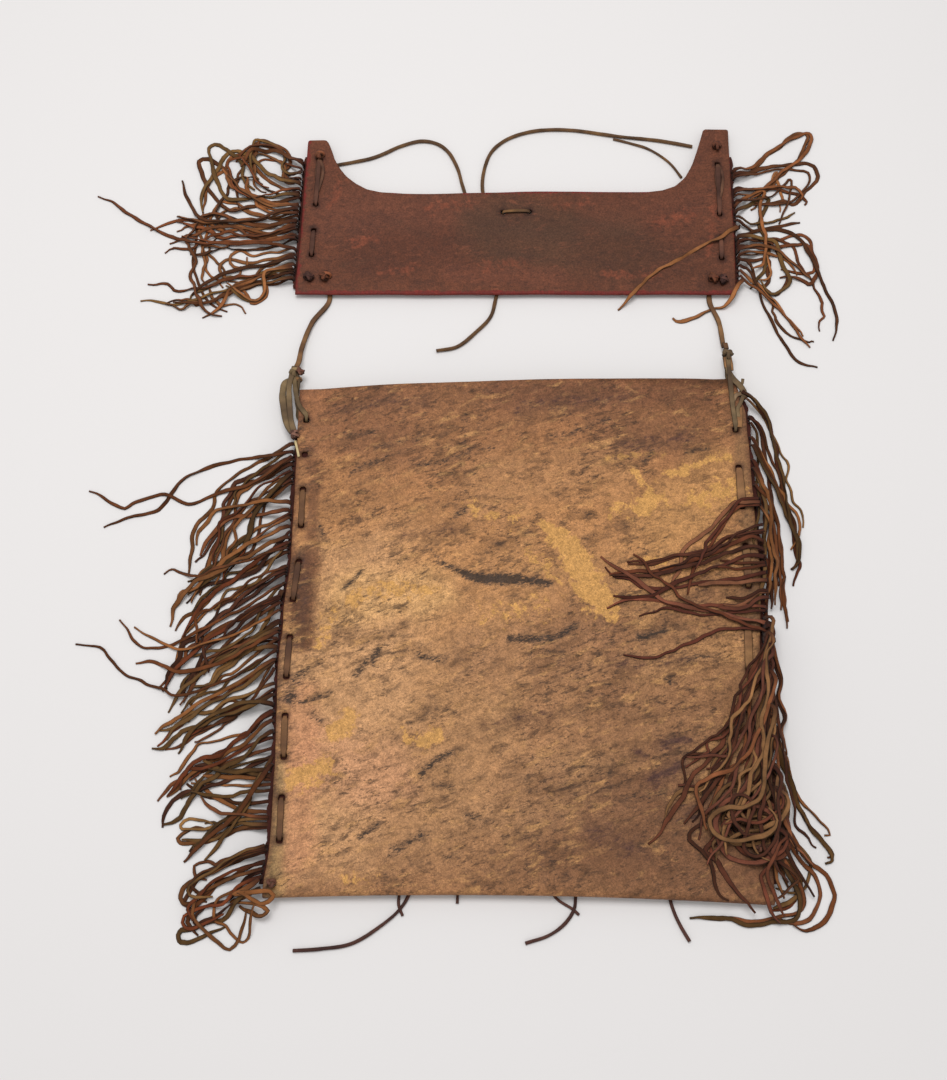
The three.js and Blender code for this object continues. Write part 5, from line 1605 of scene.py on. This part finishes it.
for side, edge, outward, routes, strays, seed, crowd in (
    ("left", panel_left_edge, -1, PANEL_LEFT_ROUTES, PANEL_LEFT_STRAYS, 600, 0.9),
    ("right", panel_right_edge, 1, PANEL_RIGHT_ROUTES, PANEL_RIGHT_STRAYS, 700, 0.5),
):
    heading = heading_strip(
        edge, outward, PANEL_BOTTOM + 6, PANEL_BOTTOM + 112, PANEL_HEADING_MIDDLE,
        PANEL_FRINGE_REACH, 70,
    ).piece(f"panel_{side}_heading", buckskin)
    seat(heading, "panel", "buckskin")
    piece = fringe_piece(
        f"panel_{side}_strands", routes, strays, edge, outward, PANEL_HEADING_MIDDLE,
        PANEL_FRINGE_TINTS, seed, crowd,
    )
    seat(piece, "panel", "buckskin", f"panel_{side}_fringe")


# %% [markdown]
# Lacing.
# One thong runs down each side in a running stitch: over the back, down through a hole, under
# the front and up through the next. The sheet is thick and the thong is stiff, so it bends
# sharply at each hole. We give the path a few points round each bend and let the curve
# follow them. A stretch that lies on top bulges up a little between its two holes.

# %% Running stitch
BEND = 1.7
IN_HOLE = 0.3
HOLE_DROP = 1.0
BULGE = 0.35
THONG_STEP = 0.7
THONG_SIDES = 10


def from_hole(hole, other, reach, height):
    """A point a little way from one hole towards another."""
    way = Vector((other[0] - hole[0], other[1] - hole[1])).normalized()
    return Vector((hole[0] + way.x * reach, hole[1] + way.y * reach, height))


def running_stitch(holes, above, below):
    """Points of a thong that goes in and out through the holes."""
    points = []
    for i, hole in enumerate(holes):
        first, second = (above, below) if i % 2 else (below, above)
        drop = HOLE_DROP if second < first else -HOLE_DROP
        if i:
            points.append(from_hole(hole, holes[i - 1], BEND, first))
            points.append(from_hole(hole, holes[i - 1], IN_HOLE, first - drop))
        if i < len(holes) - 1:
            after = holes[i + 1]
            points.append(from_hole(hole, after, IN_HOLE, second + drop))
            points.append(from_hole(hole, after, BEND, second))
            height = second + (BULGE if second == above else 0)
            points.append(Vector(((hole[0] + after[0]) / 2, (hole[1] + after[1]) / 2, height)))
    return points


def swept_thong(shape, points, seed, width, depth=THONG_THICK, tones=BROWN, holes=()):
    """A flat thong, squeezed where it goes through a hole, with painted shade at its cut edges."""
    path = smooth_path(points, THONG_STEP)
    steps = [i * THONG_STEP for i in range(len(path))]
    widths = []
    for s, place in zip(steps, path):
        squeeze = sum(math.exp(-((place.x - x) ** 2 + (place.y - y) ** 2) / 6) for x, y in holes)
        swell = 1 + 0.14 * waver(s, 0, seed, 7)
        widths.append(width * swell * (1 - 0.4 * min(1, squeeze)))
    depths = [depth * (1 + 0.12 * waver(s, 9, seed, 5)) for s in steps]
    twist = [0.22 * waver(s, 3, seed, 9) for s in steps]
    found, faces = sweep(path, widths, depths, twist, THONG_SIDES, bluntness=0.6)
    for point in found:
        point.z = max(0.04, point.z)
    colours = [thong_tint(s, seed, tones) for s in steps]
    # Painted shade along the cut edges, and painted light on the faces between them
    shape.add(found, faces, ring_tints(colours, THONG_SIDES, 0.6, 1.08))


# %% [markdown]
# Two kinds of knot hold everything. The lacing of the pouch ends in overhand knots, and a
# trefoil is the curve of one pulled tight. The hard lumps on the panel and at the corners are
# turns wound over one another, so we wind closed loops at chance angles round one centre.

# %% Knots
KNOT_TURNS = 5
TURN_POINTS = 26
TREFOIL_POINTS = 54


def wound_knot(shape, centre, radius, seed, tones=OLIVE):
    """A hard lump of thong: turns wound over one another in different directions."""
    chance = random.Random(seed)
    for _ in range(KNOT_TURNS):
        turned = chance.uniform(0, math.pi)
        lean = chance.uniform(-0.5, 0.5)
        across = Vector((math.cos(turned), math.sin(turned), lean)).normalized()
        upward = across.cross(Vector((math.sin(turned), -math.cos(turned), 0.3))).normalized()
        shift = Vector((chance.uniform(-1, 1), chance.uniform(-1, 1), 0)) * radius * 0.22
        path = []
        for i in range(TURN_POINTS):
            t = 2 * math.pi * i / TURN_POINTS
            reach = radius * (0.62 + 0.1 * math.sin(2 * t + turned))
            path.append(centre + shift + (across * math.cos(t) + upward * math.sin(t)) * reach)
        found, faces = sweep(path, radius * 0.6, radius * 0.34, None, THONG_SIDES, closed=True)
        tone = thong_tint(turned * 20, seed, tones) * chance.uniform(0.75, 1.15)
        # Painted shade along the cut edges of each turn, and painted light on its faces
        shape.add(found, faces, ring_tints([tone] * TURN_POINTS, THONG_SIDES, 0.6, 1.1))


def tied_knot(shape, centre, radius, seed):
    """A tight overhand knot: a trefoil of flat thong, with its own core inside."""
    path = []
    for i in range(TREFOIL_POINTS):
        t = 2 * math.pi * i / TREFOIL_POINTS
        x = (math.sin(t) + 2 * math.sin(2 * t)) / 3
        y = (math.cos(t) - 2 * math.cos(2 * t)) / 3
        path.append(centre + Vector((x, y, -math.sin(3 * t) * 0.5)) * radius * 0.72)
    found, faces = sweep(path, radius * 0.62, radius * 0.5, None, THONG_SIDES, closed=True)
    colours = [thong_tint(i * 0.5, seed, RUSSET) for i in range(TREFOIL_POINTS)]
    shape.add(found, faces, ring_tints(colours, THONG_SIDES))
    core = [centre + Vector((0, 0, z * radius * 0.5)) for z in (-0.8, -0.4, 0, 0.4, 0.8)]
    wide = [radius * k for k in (0.3, 0.85, 1.05, 0.85, 0.3)]
    shape.add(*sweep(core, wide, wide, None, THONG_SIDES), srgb("4A3828"))


# %% [markdown]
# The lacing of the pouch lies nearly flush with its back, pulled tight, and each thong ends in
# a knot at its last hole. The panel has two spare turns of thong at each upper hole.

# %% Lacing
STITCH_FLUSH = BACK_TOP + 0.45
PANEL_KNOT_HEIGHT = PANEL_TOP + CLEARANCE + 2


def pouch_lacing(name, holes, seed, width, tones):
    shape = Shape()
    route = running_stitch(holes, STITCH_FLUSH, STITCH_BELOW)
    swept_thong(shape, route, seed, width, 0.8, tones, holes)
    x, y = holes[-1]
    knot = Vector((x, y, BACK_TOP + CLEARANCE + 2.2))
    if len(holes) % 2:
        swept_thong(shape, [(x, y, STITCH_BELOW), (x, y, 6), knot], seed, 1.4, 1.3)
    tied_knot(shape, knot, 2.9, seed)
    piece = shape.piece(name + "_thong", thong_hide)
    seat(piece, "pouch", "thong", name)


pouch_lacing("left_lacing", LEFT_HOLES[2:], 61, 4.0, ("4C3224", "7C5838"))
pouch_lacing("right_lacing", RIGHT_HOLES[1:], 62, 5.4, ("6C4A32", "987048"))


def panel_lacing(name, holes, seed, knot_rise):
    shape = Shape()
    route = running_stitch(holes, PANEL_TOP + 0.6, PANEL_STITCH_BELOW)
    swept_thong(shape, route, seed, 3.4, 1.0, ("3E261E", "6A4434"), holes)
    x, y = holes[0]
    wound_knot(shape, Vector((x, y + knot_rise, PANEL_KNOT_HEIGHT)), 3.7, seed + 2, RUST)
    for bend in (2.8, -1.6):
        loop = [
            (x, y - 1, 1), (x + bend, y - 9, 0.7), (x + bend * 0.8, y - 18, 0.7), (x, y - 28, 1),
        ]
        points = [Vector(p) + Vector((0, 0, PANEL_TOP)) for p in loop]
        swept_thong(shape, points, seed + 9, 2.2, 1.0, ("432A20", "74503A"))
    x, y = holes[-1]
    rise = [(x, y, z) for z in (PANEL_STITCH_BELOW, 4, PANEL_KNOT_HEIGHT)]
    swept_thong(shape, rise, seed, 1.4, 1.3)
    wound_knot(shape, Vector(rise[-1]), 3.8, seed + 5, MAROON)
    piece = shape.piece(name + "_thong", thong_hide)
    seat(piece, "panel", "thong", name)


panel_lacing("panel_left_lacing", PANEL_LEFT_HOLES, 63, 1)
panel_lacing("panel_right_lacing", PANEL_RIGHT_HOLES, 64, 14)

# %% [markdown]
# Corner straps.
# Two thongs tie the panel to the pouch, and each ends at a knot at a corner of the pouch, where
# it can turn: this is the hinge of the cover. A strap from that knot goes through the first
# hole of the side and back. The other turns that show at each corner follow the photograph.

# %% Corner straps
LEFT_TIE_KNOT = Vector((left_edge(POUCH_TOP) - 4, POUCH_TOP + 8, 10))
RIGHT_TIE_KNOT = Vector((right_edge(POUCH_TOP) - 4, POUCH_TOP + 21.5, 10))
TIE_KNOT_RADIUS = 4.2
# Turns of thong seen at each corner: width, tones and a route, read one by one
LEFT_TURNS = [
    (4.6, OLIVE, [(-146.6, 163, 9.6), (-151, 160.5, 9.8), (-152.4, 153, 9.9), (-151.2, 143, 9.8),
                  (-148.6, 132, 9.7), (-144.6, 125, 9.7)]),
    (3.8, OLIVE, [(-146.6, 167, 10.9), (-148.2, 158, 10.9), (-147.4, 145, 10.8),
                  (-145.8, 133, 10.6), (-143.8, 126, 10.4)]),
    (1.7, ("B09A70", "C8B488"), [(-142.6, 119, 10.2), (-141, 113, 10), (-139.8, 108, 9.6)]),
]
RIGHT_TURNS = [
    (4.2, OLIVE, [(140, 172, 9.9), (140.4, 168, 10.2), (142.7, 163.3, 10.4), (146.4, 158.9, 10.5),
                  (149.2, 154, 10.2), (149.6, 150, 9.6)]),
    (2.2, OLIVE, [(147, 158, 10.2), (148.6, 160.6, 10.2), (149.2, 163.5, 10)]),
    (3.0, ("5C4636", "8A7054"), [(147.6, 153, 9.9), (144, 151.6, 9.9), (141.4, 146, 9.8),
                                 (142.3, 140, 9.6), (144, 134, 9.5)]),
    (2.8, OLIVE, [(148.6, 151, 10), (146.4, 146, 10.2), (144.4, 142, 10.1), (144.6, 136, 9.9)]),
    (4.6, TAN, [(145.4, 143, 9.7), (145.2, 136, 9.7), (144.4, 129, 9.6)]),
]


def corner_strap(name, knot, hole, edge, outward, round_side, turns, seed):
    x, y = hole
    above = STITCH_ABOVE
    rim = edge(y + 16) + outward * 1.4
    if round_side:
        back = [
            (x + outward * 2.4, y + 2, STITCH_BELOW), (x + outward * 6, y + 5, STITCH_BELOW),
            (rim, y + 11, STITCH_BELOW), (rim + outward, y + 16, STITCH_BELOW + 1),
            (rim + outward, y + 22, HEADING_MIDDLE), (rim, y + 28, above),
        ]
    else:
        mouth = POUCH_TOP + MOUTH_SKEW / 2 + 4
        back = [
            (x, y + 2.8, STITCH_BELOW), (x + outward * 2, y + 20, STITCH_BELOW),
            (mix(x, knot.x, 0.7), mouth, STITCH_BELOW),
            (knot.x, knot.y - 8, HEADING_MIDDLE - 1),
        ]
    points = [
        tuple(knot),
        (mix(knot.x, x, 0.1), mix(knot.y, y, 0.3), above + 0.5),
        (mix(knot.x, x, 0.45), mix(knot.y, y, 0.7), above),
        (x, y + 2.6, above), (x, y, above - 0.9), (x, y, STITCH_BELOW + 0.8), *back, tuple(knot),
    ]
    shape = Shape()
    tones = ("3C2E22", "6E5A3E") if round_side else OLIVE
    swept_thong(shape, points, seed, 3.2, 1.1, tones, [hole])
    wound_knot(shape, knot, TIE_KNOT_RADIUS, seed)
    for width, tones, route in turns:
        swept_thong(shape, route, seed + len(route), width, 1.0, tones)
    if round_side:
        wound_knot(shape, knot + Vector((3.8, 0.4, 0.2)), TIE_KNOT_RADIUS * 0.8, seed + 3, RUSSET)
        wound_knot(shape, Vector((-143.4, 123.5, 10)), 3.4, seed + 4, ("50342A", "8A6454"))
        wound_knot(shape, knot + Vector((2.4, -5, -1.4)), 3.0, seed + 6, BROWN)
    else:
        neck = [(-0.5, -2, -0.6), (0, -7, -0.7), (0.4, -12, -0.8)]
        swept_thong(shape, [knot + Vector(p) for p in neck], seed + 5, 6.2, 1.6, TAN)
    piece = shape.piece(name + "_thong", thong_hide)
    seat(piece, "pouch", "thong", name)


corner_strap(
    "left_corner_strap", LEFT_TIE_KNOT, LEFT_HOLES[0], left_edge, -1, True, LEFT_TURNS, 65,
)
corner_strap(
    "right_corner_strap", RIGHT_TIE_KNOT, RIGHT_HOLES[0], right_edge, 1, False, RIGHT_TURNS, 66,
)

# %% [markdown]
# Something is tied to the hidden front, and short ends of its ties show under the fold.

# %% Short ends under the fold
ends = Shape()
for number, route in enumerate((
    [(-70.4, -158), (-70.6, -164), (-70.8, -169.6), (-68.4, -175.8)],
    [(-36.7, -158), (-36.8, -164), (-37, -169)],
    [(16, -158), (19.9, -165.7), (29.8, -172.3), (33.1, -175.3)],
)):
    swept_thong(ends, [(x, y, 0.9) for x, y in route], 90 + number, 1.7, 1.2, MAROON)
seat(ends.piece("tie_ends", thong_hide), "pouch", "thong")


# %% [markdown]
# A tie starts at its knot on the panel's face, goes down through the hole, sags to the floor
# beyond the panel's lower edge and climbs to its knot at the corner of the pouch.

# %% Ties
FLOOR_HEIGHT = 1.2


def tie_thong(name, hole, knot, sway, seed):
    x, y = hole
    way = Vector((x - knot.x, y - knot.y)).normalized()
    short = TIE_KNOT_RADIUS + CLEARANCE / 2
    points = [
        (x, y, PANEL_KNOT_HEIGHT), (x, y, PANEL_STITCH_BELOW + 1.4),
        (x + sway * 0.3, y - 2, PANEL_STITCH_BELOW),
        (x + sway, PANEL_BOTTOM - 3, FLOOR_HEIGHT),
        (mix(x, knot.x, 0.45), PANEL_BOTTOM - 20, FLOOR_HEIGHT + 1),
        (mix(x, knot.x, 0.8), PANEL_BOTTOM - 40, FLOOR_HEIGHT + 3),
        (knot.x + way.x * (short + 5), knot.y + way.y * (short + 5), 7),
        (knot.x + way.x * short, knot.y + way.y * short, knot.z - 1),
    ]
    shape = Shape()
    swept_thong(shape, points, seed, 3.4, 1.4, ("5A3E2A", "86623E"))
    wound_knot(shape, Vector(points[0]), 4.1, seed, RUST)
    piece = shape.piece(name + "_hide", thong_hide)
    seat(piece, "panel", "thong", name)


tie_thong("left_tie_thong", LEFT_TIE_HOLE, LEFT_TIE_KNOT, 3, 67)
tie_thong("right_tie_thong", RIGHT_TIE_HOLE, RIGHT_TIE_KNOT, -3, 68)

# %% [markdown]
# The carrying thong is held by one stitch, which shows on the panel's face between two slits.

# %% Carrying stitch
low = CARRY_WIDTH / MM / 2 + 0.1
(slit_x, slit_y), (far_x, far_y) = SLITS
stitch = Shape()
swept_thong(stitch, [
    (slit_x - 7, slit_y, low), (slit_x - 2, slit_y, low), (slit_x, slit_y, PANEL_RISE),
    (slit_x, slit_y, PANEL_TOP), (slit_x + 1.9, slit_y, PANEL_STITCH_ABOVE),
    (far_x - 1.9, far_y, PANEL_STITCH_ABOVE), (far_x, far_y, PANEL_TOP),
    (far_x, far_y, PANEL_RISE), (far_x, far_y - 2, low), (far_x - 1, far_y - 7, low),
], 69, 2.4)
seat(stitch.piece("carry_stitch_thong", thong_hide), "panel", "thong", "carry_stitch")

# %% [markdown]
# Floor and light.
# The photo was taken on pale paper under a large soft light from above. A big area lamp gives
# the soft shadows at the edges, and the pale world fills them.

# %% Floor and light
SIDE = 4.0
LAMP_AIM = Vector((0, 0.05, 0))
floor_mesh = bpy.data.meshes.new("floor")
floor_mesh.from_pydata(
    [(-SIDE, -SIDE, 0), (SIDE, -SIDE, 0), (SIDE, SIDE, 0), (-SIDE, SIDE, 0)], [], [(0, 1, 2, 3)],
)
floor = bpy.data.objects.new("floor", floor_mesh)
bpy.context.collection.objects.link(floor)
# Pale paper: matt and without any gloss to speak of
paper, _, paper_shader = new_material("pale_paper", 0.9, 0.1)
paper_shader.inputs["Base Color"].default_value = linear("E6E3E2")
floor_mesh.materials.append(paper)

world = bpy.data.worlds.new("studio")
world.use_nodes = True
sky = world.node_tree.nodes["Background"]
sky.inputs["Color"].default_value = linear("FFFFFF")
sky.inputs["Strength"].default_value = 0.6
bpy.context.scene.world = world

lamp_data = bpy.data.lights.new("softbox", "AREA")
lamp_data.shape = "DISK"
lamp_data.size = 0.8
lamp_data.energy = 13.1
lamp = bpy.data.objects.new("softbox", lamp_data)
lamp.location = Vector((-0.16, 0.36, 1.58))
lamp.rotation_euler = (LAMP_AIM - lamp.location).to_track_quat("-Z", "Y").to_euler()
bpy.context.collection.objects.link(lamp)
bpy.context.scene.view_settings.view_transform = "Standard"
print("softbox:", lamp_data.size, "m wide,", lamp_data.energy, "W")
